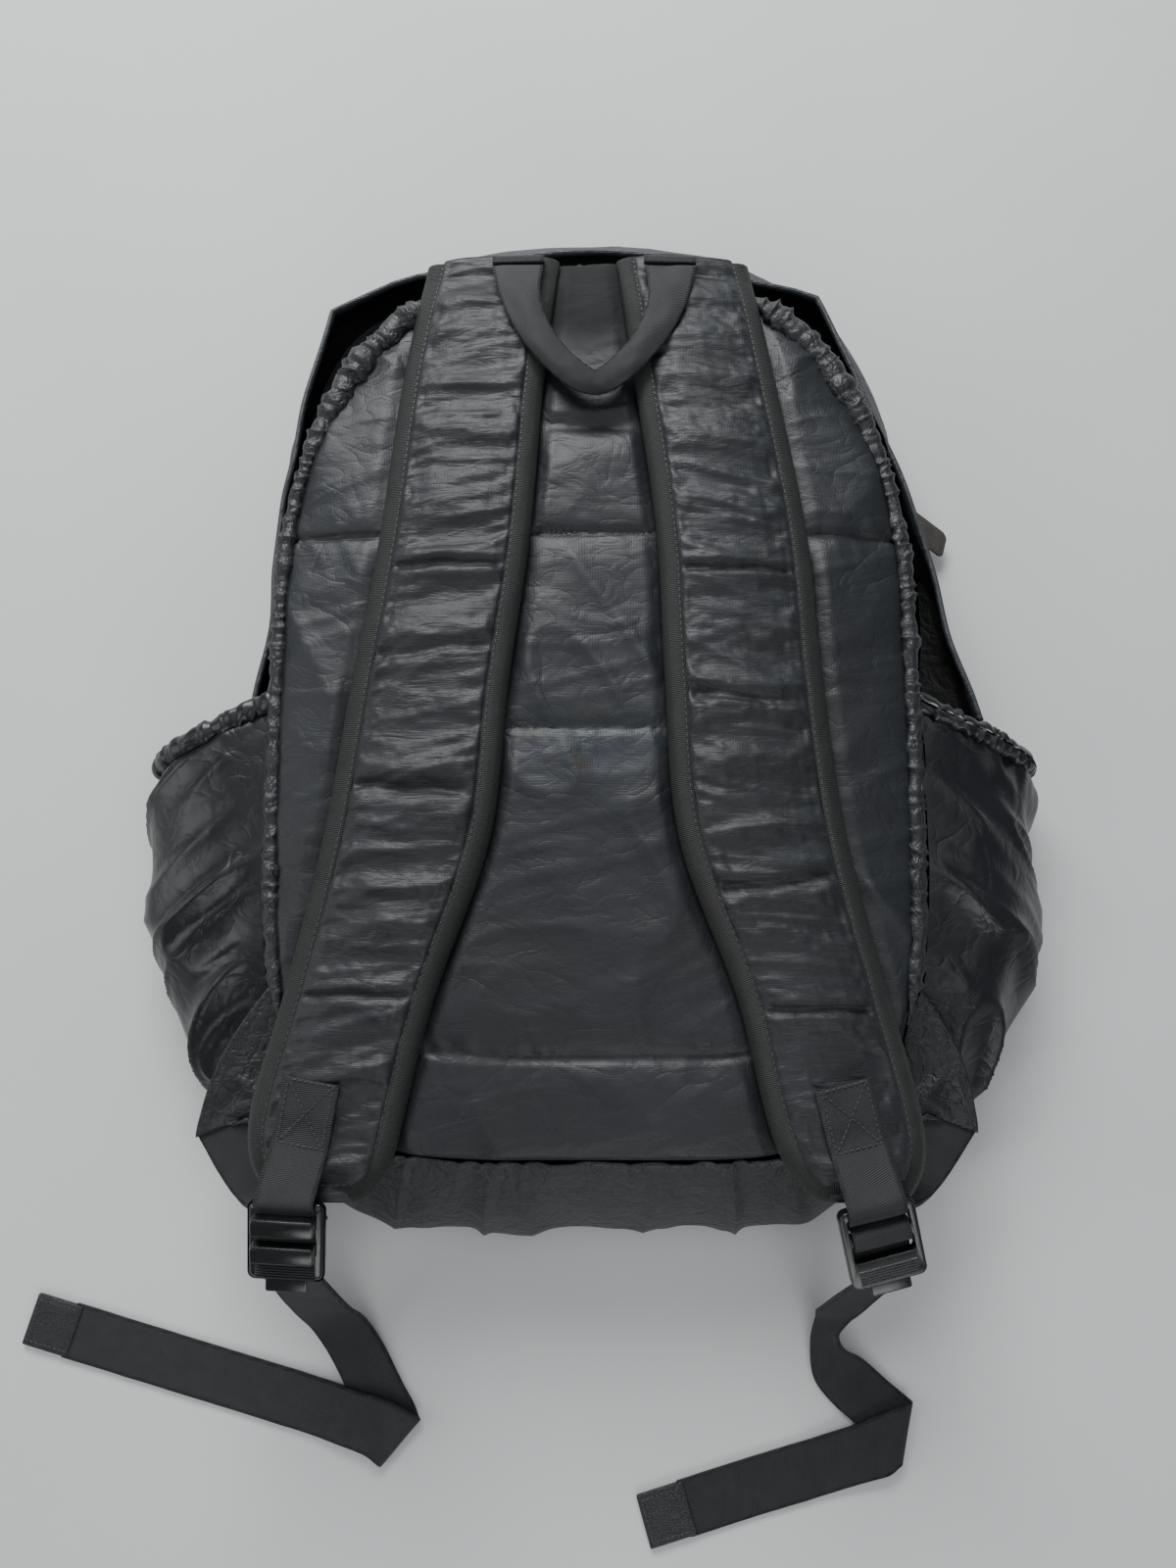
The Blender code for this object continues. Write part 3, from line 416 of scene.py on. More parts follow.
for side, start, end, seed in (("right", CORNER, ARCH_START - WALL_GAP, 11),
                               ("left", ARCH_END + WALL_GAP, pi - CORNER, 12)):
    side_cloth = wall_cloth("side_panel_cloth_" + side, WALL_FOOT, WALL_TOP, start, end, 130, 36, no_inset,
                            0.0022, seed)
    dress(side_cloth, satin_nylon, "bag", "nylon", "side_panel_" + side)
bottom = wall_cloth("bottom_panel_cloth", WALL_FOOT, WALL_TOP, -pi - CORNER + WALL_GAP, CORNER - WALL_GAP,
                    240, 40, bottom_puff, 0.0048, 13)
dress(bottom, satin_nylon, "bag", "nylon", "bottom_panel")
gusset = wall_cloth("top_gusset_cloth", ARCH_LOW, WALL_TOP, ARCH_START, ARCH_END, 420, 26, arch_inset,
                    0.0018, 14)
dress(gusset, satin_nylon, "bag", "nylon", "top_gusset")
arch_inside = wall_cloth("arch_lining_cloth", ARCH_LOW, WALL_TOP - 0.001, ARCH_START + 2 * WALL_GAP,
                         ARCH_END - 2 * WALL_GAP, 180, 12, lining_inset, 0.0004, 18)
dress(arch_inside, lining_cloth, "bag", "lining", "arch_lining")
front_gusset = wall_cloth("front_gusset_cloth", 0.0015, 0.0099, ARCH_START + WALL_GAP, ARCH_END - WALL_GAP,
                          300, 6, no_inset, 0.0006, 15)
dress(front_gusset, satin_nylon, "opening_panel", "nylon", "front_gusset")


# ---- Front panels ----
# The bag lies on two flat nylon panels: the lower one is sewn to the wall, and the upper one folds
# down with the zip open. Both rest on the floor and keep their solids.

for kept in ("front_panel_lower", "front_panel_upper"):
    finish_node(kept, satin_nylon)


# ---- Zip ----
# A coil zip runs round the arch between two woven tapes. Its metal slider carries a wire link and a
# taupe leather pull with a darker line along its edges.

ZIP_Z = 0.016
COIL_RADIUS = 0.0015
SLIDER_Y = 0.222
PULL_SIZE = (0.015, 0.026, 0.0024)
PULL_WAY = (0.82, -0.42)
PULL_DROOP = 0.010


def make_tape_finish():
    finish = Finish("zip_tape_weave", (0.008, 0.008, 0.009), 0.72)
    along, across = finish.cloth_places()
    finish.bump((along * 7000.0).sine() + (across * 5000.0).sine(), 0.0001)
    finish.shades(finish.noise(finish.places(), 300.0), 0.7, 1.4)
    return finish.material


def make_coil_finish():
    finish = Finish("zip_coil_nylon", (0.012, 0.012, 0.013), 0.35)
    finish.shades(finish.noise(finish.places(), 400.0), 0.7, 1.5)
    return finish.material


def make_metal_finish():
    finish = Finish("dark_metal", (0.10, 0.10, 0.105), 0.34, metallic=1.0)
    places = finish.places()
    wear = finish.noise(places, 700.0, 4.0)
    finish.shades(wear, 0.6, 1.7)
    finish.feed("Roughness", 0.25 + 0.25 * wear)
    finish.bump(wear, 0.0002)
    return finish.material


def make_pull_leather():
    finish = Finish("taupe_leather", (0.052, 0.047, 0.040), 0.55)
    places = finish.places()
    finish.leather_grain(places, 1300.0)
    finish.shades(finish.noise(places, 220.0), 0.75, 1.3)
    return finish.material


def tube_points(path, around, across, up, columns):
    """Rings of a tube on a path: across and up are its half sizes, one for each point of the path."""
    path = np.asarray(path)
    ahead = np.gradient(path, axis=0)
    ahead /= np.linalg.norm(ahead, axis=1, keepdims=True)
    side = np.cross(ahead, around)
    side /= np.linalg.norm(side, axis=1, keepdims=True)
    top = np.cross(side, ahead)
    turn = np.linspace(0.0, 2 * pi, columns)
    half_sizes = []
    for size in (across, up):
        shaped = np.asarray(size, dtype=float).reshape(len(path), -1) if np.ndim(size) else size
        half_sizes.append(np.broadcast_to(shaped, (len(path), columns)))
    return (path[:, None, :] + side[:, None, :] * (np.cos(turn) * half_sizes[0])[..., None]
            + top[:, None, :] * (np.sin(turn) * half_sizes[1])[..., None])


def select_only(piece):
    bpy.ops.object.select_all(action="DESELECT")
    piece.select_set(True)
    bpy.context.view_layer.objects.active = piece


def close_ends(piece):
    """Fills the two open ends of a tube."""
    select_only(piece)
    bpy.ops.object.mode_set(mode="EDIT")
    bpy.ops.mesh.select_all(action="DESELECT")
    bpy.ops.mesh.select_non_manifold()
    bpy.ops.mesh.fill_holes(sides=0)
    bpy.ops.mesh.select_all(action="SELECT")
    bpy.ops.mesh.normals_make_consistent(inside=False)
    bpy.ops.object.mode_set(mode="OBJECT")
    return piece


def swept(name, path, around, across, up, columns, length):
    """A closed tube along a path, with its ends filled."""
    points = tube_points(path, around, across, up, columns)
    return close_ends(cloth(name, points, 0.0, size=(2 * pi * float(np.mean(across)), length), joined=True))


def arc_path(start, end, height, outward, count):
    return wall_points(np.linspace(start, end, count), height, outward)


zip_tape = make_tape_finish()
zip_coil = make_coil_finish()
dark_metal = make_metal_finish()
pull_leather = make_pull_leather()
bag_tape = wall_cloth("zip_tape_cloth_bag", 0.0178, 0.0218, ARCH_START, ARCH_END, 300, 5, no_inset,
                      0.0003, 16)
dress(bag_tape, zip_tape, "bag", "zip", "zip_tape_bag")
panel_tape = wall_cloth("zip_tape_cloth_panel", 0.0102, 0.0142, ARCH_START + WALL_GAP, ARCH_END - WALL_GAP,
                        300, 5, no_inset, 0.0003, 17)
dress(panel_tape, zip_tape, "opening_panel", "zip", "zip_tape_panel")
coil_count = 1400
coil_ribs = COIL_RADIUS * (0.86 + 0.14 * np.cos(np.arange(coil_count) * pi))
coil = swept("zip_coil", arc_path(ARCH_START, ARCH_END, ZIP_Z, -0.0006, coil_count), UP,
             coil_ribs, coil_ribs, 9, 0.75)
dress(coil, zip_coil, "bag", "zip", "zip_chain")


# ---- Zip slider and its pull ----
# The slider is a small cast box on the coil. A bent wire link hangs on it, and a stitched leather
# pull is folded round the link.

def start_with(primitive, **values):
    """Adds a primitive with nothing else selected, and gives its object."""
    bpy.ops.object.select_all(action="DESELECT")
    primitive(**values)
    return bpy.context.object


def box_piece(name, centre, size, bevel, segments=3):
    piece = start_with(bpy.ops.mesh.primitive_cube_add, size=1.0, location=centre)
    piece.name = name
    piece.scale = size
    bpy.ops.object.transform_apply(location=False, rotation=False, scale=True)
    if bevel > 0:
        edges = piece.modifiers.new("edges", "BEVEL")
        edges.width = bevel
        edges.segments = segments
        bpy.ops.object.modifier_apply(modifier=edges.name)
    return piece


def settle(piece, matrix=None):
    """Puts a finished piece's place into its mesh, and its object at the origin."""
    bpy.context.view_layer.update()
    piece.data.transform(piece.matrix_world)
    piece.matrix_world = Matrix.Identity(4)
    if matrix is not None:
        piece.data.transform(matrix)
    select_only(piece)
    bpy.ops.object.shade_smooth_by_angle(angle=radians(35))
    return piece


def joined_with(first, *others):
    select_only(first)
    for piece in others:
        piece.select_set(True)
    bpy.ops.object.join()
    return first


slider_low, slider_high = (np.array(corner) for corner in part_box("zip_slider"))
slider_middle = (slider_low + slider_high) / 2
slider_size = slider_high - slider_low
slider = box_piece("slider_body", tuple(slider_middle), tuple(slider_size), 0.0009)
bridge_place = slider_middle + np.array((slider_size[0] / 2 + 0.0003, 0.0, 0.0))
bridge = box_piece("slider_bridge", tuple(bridge_place), (0.0008, 0.007, 0.0022), 0.0003)
slider = settle(joined_with(slider, bridge))
dress(slider, dark_metal, "zip_slider", "metal", "zip_slider")
link_low, link_high = (np.array(corner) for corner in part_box("zip_pull_link"))
link = start_with(bpy.ops.mesh.primitive_torus_add, major_radius=0.5, minor_radius=0.09, major_segments=36,
                  minor_segments=10, location=tuple((link_low + link_high) / 2))
link.name = "pull_link"
link.scale = tuple((link_high - link_low) / (1.18, 1.18, 0.18))
dress(settle(link), dark_metal, "zip_pull", "metal", "zip_pull_link")


def pull_points(lift, margin):
    """The pull's outline grid: it hangs out and down from the link, with its end rounded."""
    across, along = np.meshgrid(np.linspace(-0.5, 0.5, 25), np.linspace(0.0, 1.0, 41))
    narrow = 1.0 - 0.35 * np.clip((along - 0.85) / 0.15, 0, 1) ** 2
    narrow = narrow - 0.15 * np.clip((0.12 - along) / 0.12, 0, 1)
    side = across * (PULL_SIZE[0] - 2 * margin) * narrow
    out = margin + along * (PULL_SIZE[1] - 2 * margin)
    start = link_high[0] + 0.0006
    edge = np.maximum(np.abs(across) * 2, np.abs(along * 2 - 1))
    groove = 0.00035 * np.exp(-((edge - 0.80) / 0.035) ** 2)
    dome = PULL_SIZE[2] / 2 * (1 - edge ** 8) ** 0.5 - groove
    height = slider_middle[2] - PULL_DROOP * out / PULL_SIZE[1] + lift * dome
    x = start + out * PULL_WAY[0] + side * 0.25
    y = SLIDER_Y + side * 0.92 + out * PULL_WAY[1]
    return np.stack((x, y, height), axis=-1)


upper_pull = cloth("leather_pull", pull_points(1.0, 0.0), 0.0, size=PULL_SIZE[:2])
lower_pull = cloth("leather_pull_back", pull_points(-1.0, 0.0), 0.0, size=PULL_SIZE[:2])
pull = joined_with(upper_pull, lower_pull)
on_all(bpy.ops.mesh.remove_doubles, threshold=0.00002)
on_all(bpy.ops.mesh.normals_make_consistent, inside=False)
dress(pull, pull_leather, "zip_pull", "grey_leather", "zip_pull")


# ---- Front rim ----
# The front shell's edge stands up round the arch as a stiff strip of grey coated nylon with a rolled hem,
# and its inner face is given black lining cloth as painted shade. It is sewn to the gusset above the zip, and
# has a sharp corner at each shoulder.

RIM_HIGH = 0.050
RIM_THICKNESS = 0.0014
RIM_LEDGE = 0.009
RIM_LEDGE_SHARE = 0.25
RIM_STEPS = 26
RIM_LEFT = ((104, -168), (145, -161), (205, -157), (262, -150), (323, -136))
RIM_TOP = ((-92, 345), (-50, 357), (-3, 362), (45, 359), (82, 345))
RIM_RIGHT = ((330, 116), (262, 143), (205, 163), (145, 176), (104, 188))


def lengths_along(path):
    """The distance walked along a path, at each of its points."""
    return np.concatenate(([0.0], np.cumsum(np.linalg.norm(np.diff(path, axis=0), axis=1))))


def smooth_value(pairs, where):
    """A smooth curve through (place, value) pairs in millimetres, at these places in metres."""
    table = np.array(sorted(pairs)) * 0.001
    places, values = table[:, 0], table[:, 1]
    before = np.maximum(np.arange(len(places)) - 1, 0)
    after = np.minimum(np.arange(len(places)) + 1, len(places) - 1)
    slopes = (values[after] - values[before]) / (places[after] - places[before])
    index = np.clip(np.searchsorted(places, where, side="right") - 1, 0, len(places) - 2)
    width = places[index + 1] - places[index]
    share = np.clip((where - places[index]) / width, 0.0, 1.0)
    start_value = values[index] * (1 + 2 * share) + share * width * slopes[index]
    end_value = values[index + 1] * (3 - 2 * share) + (share - 1) * width * slopes[index + 1]
    return start_value * (1 - share) ** 2 + end_value * share ** 2


def make_coated_finish():
    finish = Finish("grey_coated_nylon", (0.034, 0.038, 0.041), 0.5)
    places = finish.places()
    finish.shades(finish.noise(places, 25.0, 4.0), 0.75, 1.25)
    crumpled(finish, places, 60.0, 0.0010)
    split = finish.node("ShaderNodeSeparateXYZ", {}, {"Vector": places})
    finish.bump((split.out("Z") * 7000.0).sine() + (split.out("Y") * 7000.0).sine(), 0.00004)
    return finish.material


def rim_edge():
    """Places of the free edge from the left end to the right, about 2 mm apart."""
    left_y = np.linspace(0.104, 0.323, 110)
    left = np.stack((smooth_value(RIM_LEFT, left_y), left_y), axis=-1)
    top_x = np.linspace(-0.092, 0.082, 90)
    top = np.stack((top_x, smooth_value(RIM_TOP, top_x)), axis=-1)
    right_y = np.linspace(0.330, 0.104, 110)
    right = np.stack((smooth_value(RIM_RIGHT, right_y), right_y), axis=-1)
    links = [np.linspace(start, end, 24)[1:-1] for start, end in ((left[-1], top[0]), (top[-1], right[0]))]
    return np.concatenate((left, links[0], top, links[1], right))


grey_coated = make_coated_finish()
edge = rim_edge()
rim_angle = np.arctan2(edge[:, 1] - ORIGIN_Y, edge[:, 0]) % (2 * pi)
rim_angle = np.where(edge[:, 0] < 0, np.minimum(rim_angle, ARCH_END), rim_angle)
rim_angle = np.where(rim_angle > 1.5 * pi, rim_angle - 2 * pi, rim_angle)
rim_angle = np.maximum(rim_angle, ARCH_START)
rim_along = lengths_along(edge)
wave = ripple(rim_along, rim_along * 0, (0.034, 1.0), 21) * 0.0016
inner = wall_points(rim_angle, ARCH_LOW, -RIM_LEDGE)
turn = wall_points(rim_angle, ARCH_LOW)
top = np.column_stack((edge, RIM_HIGH + wave))
rim_rows = []
for step in range(RIM_STEPS):
    share = step / (RIM_STEPS - 1)
    if share < RIM_LEDGE_SHARE:
        row = inner + (turn - inner) * share / RIM_LEDGE_SHARE
    else:
        rise = (share - RIM_LEDGE_SHARE) / (1 - RIM_LEDGE_SHARE)
        row = turn + (top - turn) * rise
        at_top = np.clip((0.105 - np.abs(edge[:, 0])) / 0.035, 0, 1) * (edge[:, 1] > 0.3)
        at_right = np.clip((0.26 - edge[:, 1]) / 0.10, 0, 1) * (edge[:, 0] > 0)
        row[:, 1] -= 0.006 * at_top * rise ** 2
        at_slider = np.exp(-((edge[:, 1] - SLIDER_Y + 0.012) / 0.026) ** 2) * (edge[:, 0] > 0)
        bulge = (0.0030 + 0.0085 * at_top + 0.0065 * at_right) * (1 - at_slider) * np.sin(pi * rise)
        bulge = bulge + 0.0014 * ripple(rim_along, rise * 0.04, (0.03, 0.02), 22) * rise
        bulge = bulge + 0.0016 * creases(rim_along, rise * 0.03, (0.028, 0.02), 23) * np.sin(pi * rise)
        row[:, 0] += np.cos(rim_angle) * bulge
        row[:, 1] += np.sin(rim_angle) * bulge
    row[:, 1] = np.maximum(row[:, 1], FOLD_Y + 0.0005)
    rim_rows.append(row)
rim = cloth("rim_strip", np.array(rim_rows), RIM_THICKNESS, size=(rim_along[-1], 0.04), inside=BAG_MIDDLE)
rim_hem = swept("rim_hem", rim_rows[-1] + UP * 0.0004, UP, 0.0015, 0.0019, 13,
                rim_along[-1])
rim = joined_with(rim, rim_hem)
dress(rim, grey_coated, "bag", "coated", "front_rim")
# Painted shade: the rim's inward faces below its hem get the black lining cloth, standing for the shadow
# inside the standing strip.
rim.data.materials.append(lining_cloth)
for face in rim.data.polygons:
    away = Vector((face.center.x, face.center.y - ORIGIN_Y, 0.0))
    if face.normal.dot(away) < -0.02 * away.length and face.center.z < RIM_HIGH - 0.003:
        face.material_index = 1


# ---- Back panel ----
# A quilted cover over sheet foam, which the harness is sewn on. Lines of stitching cross it and hold
# it down to the lining, and its cloth is pulled in creases between them.

QUILT_LINES = ((0.186, 0.003, 0.20), (0.094, 0.003, 0.075), (-0.048, 0.006, 0.20))
FOLD_LINE = (0.240, 0.004, 0.060)
STRAP_CENTRES = {
    "left": ((331, -50), (262, -58), (180, -65), (110, -75), (40, -84), (-30, -104), (-80, -117),
             (-115, -120)),
    "right": ((331, 44), (262, 53), (180, 64), (110, 68), (40, 75), (-30, 96), (-78, 108), (-115, 116)),
}
STRAP_WIDTHS = ((331, 64), (250, 67), (180, 69), (110, 71), (40, 74), (-30, 66), (-80, 67), (-100, 60),
                (-115, 40))
STRAP_TOP_Y = 0.331
STRAP_END_Y = -0.115


def back_height(x, y):
    angle = np.arctan2(y - ORIGIN_Y, x)
    share = np.hypot(x, y - ORIGIN_Y) / plan_radius(angle, SEAM_Z)
    return SEAM_Z + CROWN * (1 - share ** 2)


def under_straps(x, y):
    """1 under the straps, falling to 0 beside them."""
    cover = np.zeros_like(x)
    inside = np.clip((y - STRAP_END_Y) / 0.01 + 0.5, 0, 1) * np.clip((STRAP_TOP_Y + 0.006 - y) / 0.01, 0, 1)
    for centres in STRAP_CENTRES.values():
        aside = np.abs(x - smooth_value(centres, y)) - smooth_value(STRAP_WIDTHS, y) / 2
        cover = np.maximum(cover, np.clip((0.007 - aside) / 0.008, 0, 1) * inside)
    return cover


def quilt_height(x, y):
    """How far the quilted cover stands over its plain form."""
    free = 1 - under_straps(x, y)
    nearest = np.full_like(x, 1.0)
    for line_y, sag, reach in QUILT_LINES:
        place = line_y - sag * (1 - (x / 0.14) ** 2) + 0.0012 * ripple(x, x * 0, (0.03, 1.0), 33)
        nearest = np.minimum(nearest, np.abs(y - place) + np.maximum(np.abs(x) - reach, 0))
    fold_y, fold_sag, fold_reach = FOLD_LINE
    fold_gap = y - fold_y + fold_sag * (1 - (x / 0.05) ** 2)
    tucked = -0.0030 * np.exp(-(fold_gap / 0.0045) ** 2) * np.clip((fold_reach - np.abs(x)) / 0.01, 0, 1)
    edge_gap = (1 - np.hypot(x, y - ORIGIN_Y) / plan_radius(np.arctan2(y - ORIGIN_Y, x), SEAM_Z)) * 0.19
    puff = 0.0022 * (1 - np.exp(-nearest / 0.007)) * (1 - np.exp(-np.maximum(edge_gap, 0) / 0.007))
    seam = -0.0024 * np.exp(-(nearest / 0.0012) ** 2)
    pucker = creases(x + (y - 0.1) * 0.4, y, (0.0075, 0.05), 31) * 0.0013 * np.exp(-nearest / 0.011)
    slant = x * 0.8 + y * 0.6
    broad = creases(slant, y - x * 0.5, (0.030, 0.08), 32) * 0.0026 + ripple(x, y, (0.05, 0.04), 34) * 0.0010
    fine = creases(y - x * 0.25, x, (0.011, 0.045), 35) * 0.0009
    recess = -0.0012 * np.exp(-((x + 0.003) / 0.022) ** 2 - ((y - 0.318) / 0.03) ** 2)
    gather = ripple(x, y, (0.004, 0.03), 36) * 0.0009 * np.exp(-np.maximum(0.335 - y, 0) / 0.02)
    height = puff + seam + pucker + (broad + fine) * (1 - np.exp(-nearest / 0.010)) + recess + gather + tucked
    return np.maximum(height * free + np.minimum(height, 0.0) * (1 - free) - 0.0004 * (1 - free), -0.0028)


def back_cloth(name, columns, rows, reach, raise_by, thickness):
    """A sheet in the outline of the back panel. Each square of its grid is pulled out to the outline."""
    u, v = np.meshgrid(np.linspace(-1, 1, columns), np.linspace(-1, 1, rows))
    angle = np.arctan2(v * np.where(v >= 0, 0.190, 0.248), u * 0.145)
    radius = np.maximum(np.abs(u), np.abs(v)) * plan_radius(angle, SEAM_Z) * reach
    x = radius * np.cos(angle)
    y = ORIGIN_Y + radius * np.sin(angle)
    z = back_height(x, y) + raise_by(x, y)
    return cloth(name, np.stack((x, y, z), axis=-1), thickness, size=(0.29, 0.44), inside=BAG_MIDDLE)


def make_back_finish():
    finish = Finish("worn_back_nylon_with_painted_shade", (0.012, 0.014, 0.017), 0.44)
    places = finish.places()
    cloudy = finish.noise(places, 11.0, 4.0, 1.2)
    tint = finish.ramp(cloudy, [(0.30, (0.0090, 0.0102, 0.0118)), (0.50, (0.0118, 0.0135, 0.0158)),
                                (0.70, (0.0150, 0.0165, 0.0190))])
    split = finish.node("ShaderNodeSeparateXYZ", {}, {"Vector": places})
    worn_x = (split.out("X") + 0.002) * (1 / 0.048)
    worn_y = (split.out("Y") - 0.082) * (1 / 0.022)
    worn = 1 - (worn_x * worn_x + worn_y * worn_y)
    film = finish.ramp(finish.noise(places, 34.0, 3.0, 1.5), [
        (0.36, (0.023, 0.018, 0.016)), (0.46, (0.012, 0.017, 0.026)),
        (0.56, (0.014, 0.024, 0.032)), (0.66, (0.025, 0.021, 0.019))])
    worn_share = worn.kept() * 0.75
    # Painted shade: the top middle of the back panel, between the straps, is mixed towards near black and
    # made rougher, standing for the shadow in its recess.
    recess_shade_x = (split.out("X") + 0.003) * (1 / 0.030)
    recess_shade_y = (split.out("Y") - 0.325) * (1 / 0.050)
    painted_recess_shade = (1.45 - (recess_shade_x * recess_shade_x + recess_shade_y * recess_shade_y)).kept() * 0.92
    worn_tint = finish.mixed(worn_share, tint, film)
    finish.feed("Base Color", finish.mixed(painted_recess_shade, worn_tint, (0.002, 0.002, 0.003, 1.0)))
    finish.feed("Roughness", 0.38 + 0.18 * finish.noise(places, 30.0) + 0.4 * painted_recess_shade)
    crumpled(finish, places, 24.0, 0.0009, (1.0, 1.6, 1.0), 0.5)
    finish.weave(places, NYLON_WEAVE, WEAVE_DEPTH)
    return finish.material


back_nylon = make_back_finish()
back_cover = back_cloth("back_cover", 150, 220, 1.0, quilt_height, 0.0008)
dress(back_cover, back_nylon, "bag", "nylon", "back_panel")
back_pad = back_cloth("back_pad", 60, 80, 0.965, lambda x, y: quilt_height(x, y) * 0.4 - 0.0034, 0.0030)
dress(back_pad, grey_foam, "bag", "foam", "back_foam")
back_inside = back_cloth("back_lining_cloth", 50, 70, 0.960, lambda x, y: -0.0085 + 0 * x, 0.0006)
dress(back_inside, lining_cloth, "bag", "lining", "back_lining")


# ---- Gathered edge of the back panel ----
# An elastic runs in a narrow channel outside the back panel's seam. It draws the nylon into a row of
# small puffs, from low on each side up to the tops of the straps.

BAND_HALF_WIDTH = 0.0040
BAND_HEIGHT = 0.0036
BAND_PITCH = 0.0075
for side, flip in (("right", 1), ("left", -1)):
    count = 620
    angle = np.linspace(radians(-54), radians(66), count)
    path = wall_points(angle, SEAM_Z - 0.0004, 0.0030)
    along = lengths_along(path)
    beat = along + 0.0028 * ripple(along, along * 0, (0.012, 1.0), 41 + flip)
    swell = 0.88 + 0.16 * np.abs(np.sin(pi * beat / BAND_PITCH)) ** 0.8
    swell *= 1 + 0.16 * ripple(along, along * 0, (0.013, 1.0), 44 + flip)
    taper = np.clip(np.minimum(along, along[-1] - along) / 0.02, 0.15, 1.0)
    taper *= 1 + 0.75 * np.clip((angle - radians(28)) / radians(16), 0, 1)
    turn = np.linspace(0.0, 2 * pi, 25)
    drift = 2.0 * ripple(along, along * 0, (0.02, 1.0), 49)[:, None]
    slope = beat[:, None] + 0.0016 * np.sin(turn[None, :] + drift)
    crinkle = 0.86 + 0.34 * creases(slope, turn[None, :] * 0.004 + 0 * slope, (0.0050, 0.012), 46 + flip)
    path[:, 0] *= flip
    fullness = (swell * taper)[:, None] * crinkle
    band = swept("gathered_edge_" + side, path, UP, BAND_HALF_WIDTH * fullness, BAND_HEIGHT * fullness, 25,
                 along[-1])
    dress(band, satin_nylon, "bag", "nylon", "back_edge_" + side)


# ---- Side pockets ----
# A loose pocket of thin black taffeta hangs on each side. It is gathered into its bottom seam, and
# its mouth is drawn in by an elastic in a puffed hem.

POCKET_MOUTH_Y = 0.106
POCKET_OUTER_Y = 0.080
POCKET_BOTTOM_Y = -0.096
POCKET_REACH = 0.060
POCKET_HIGH = 0.070
POCKET_LOW = 0.008
POCKET_CLOTH = (0.115, 0.18)
HEM_RADIUS = 0.0045
HEM_PITCH = 0.0085


def make_taffeta_finish():
    finish = Finish("black_taffeta", (0.0056, 0.0062, 0.0072), 0.34, specular=0.55)
    places = finish.places()
    finish.shades(finish.noise(places, 18.0, 4.0, 0.6), 0.75, 1.45)
    finish.feed("Roughness", 0.24 + 0.18 * finish.noise(places, 45.0))
    crumpled(finish, places, 30.0, 0.0009)
    finish.weave(places, 12000.0, 0.00002, 0.4)
    return finish.material


black_taffeta = make_taffeta_finish()
wall_table_angle = np.linspace(radians(-80), radians(20), 400)


def wall_x(y, height):
    """Half width of the bag at a place along it and a height, read back from its plan."""
    result = np.empty(np.broadcast(y, height).shape)
    flat_y, flat_height = np.broadcast_arrays(y, height)
    for index in np.ndindex(result.shape):
        points = wall_points(wall_table_angle, flat_height[index])
        result[index] = np.interp(flat_y[index], points[:, 1], points[:, 0])
    return result


def pocket_points(flip, length_share, round_share, inset):
    """The pocket's plain form: round_share goes from the upper seam over it to the lower one."""
    fullness = np.clip(1 - length_share ** 3, 0, 1) ** 0.6
    reach = POCKET_REACH * (0.10 + 0.90 * fullness) * (0.97 + 0.03 * np.minimum(length_share * 3, 1.0))
    high = POCKET_HIGH + (0.030 - POCKET_HIGH) * length_share ** 2
    low = POCKET_LOW + (0.012 - POCKET_LOW) * length_share
    bulge = np.sin(pi * np.clip(round_share, 0, 1)) ** 0.7
    height = high + (low - high) * (1 - np.cos(pi * round_share)) / 2
    y = POCKET_MOUTH_Y + (POCKET_OUTER_Y - POCKET_MOUTH_Y) * bulge
    y = y + (POCKET_BOTTOM_Y - y) * length_share
    centre = (high + low) / 2
    height = centre + (height - centre) * (1 - inset / ((high - low) / 2))
    height = height - 0.006 * bulge * np.minimum(1.0, (1 - length_share) * 3)
    height = np.maximum(height, 0.001 + inset)
    x = wall_x(y, high + (low - high) * round_share) + 0.003 + (reach - inset) * bulge
    return np.stack((flip * x, y, height), axis=-1)


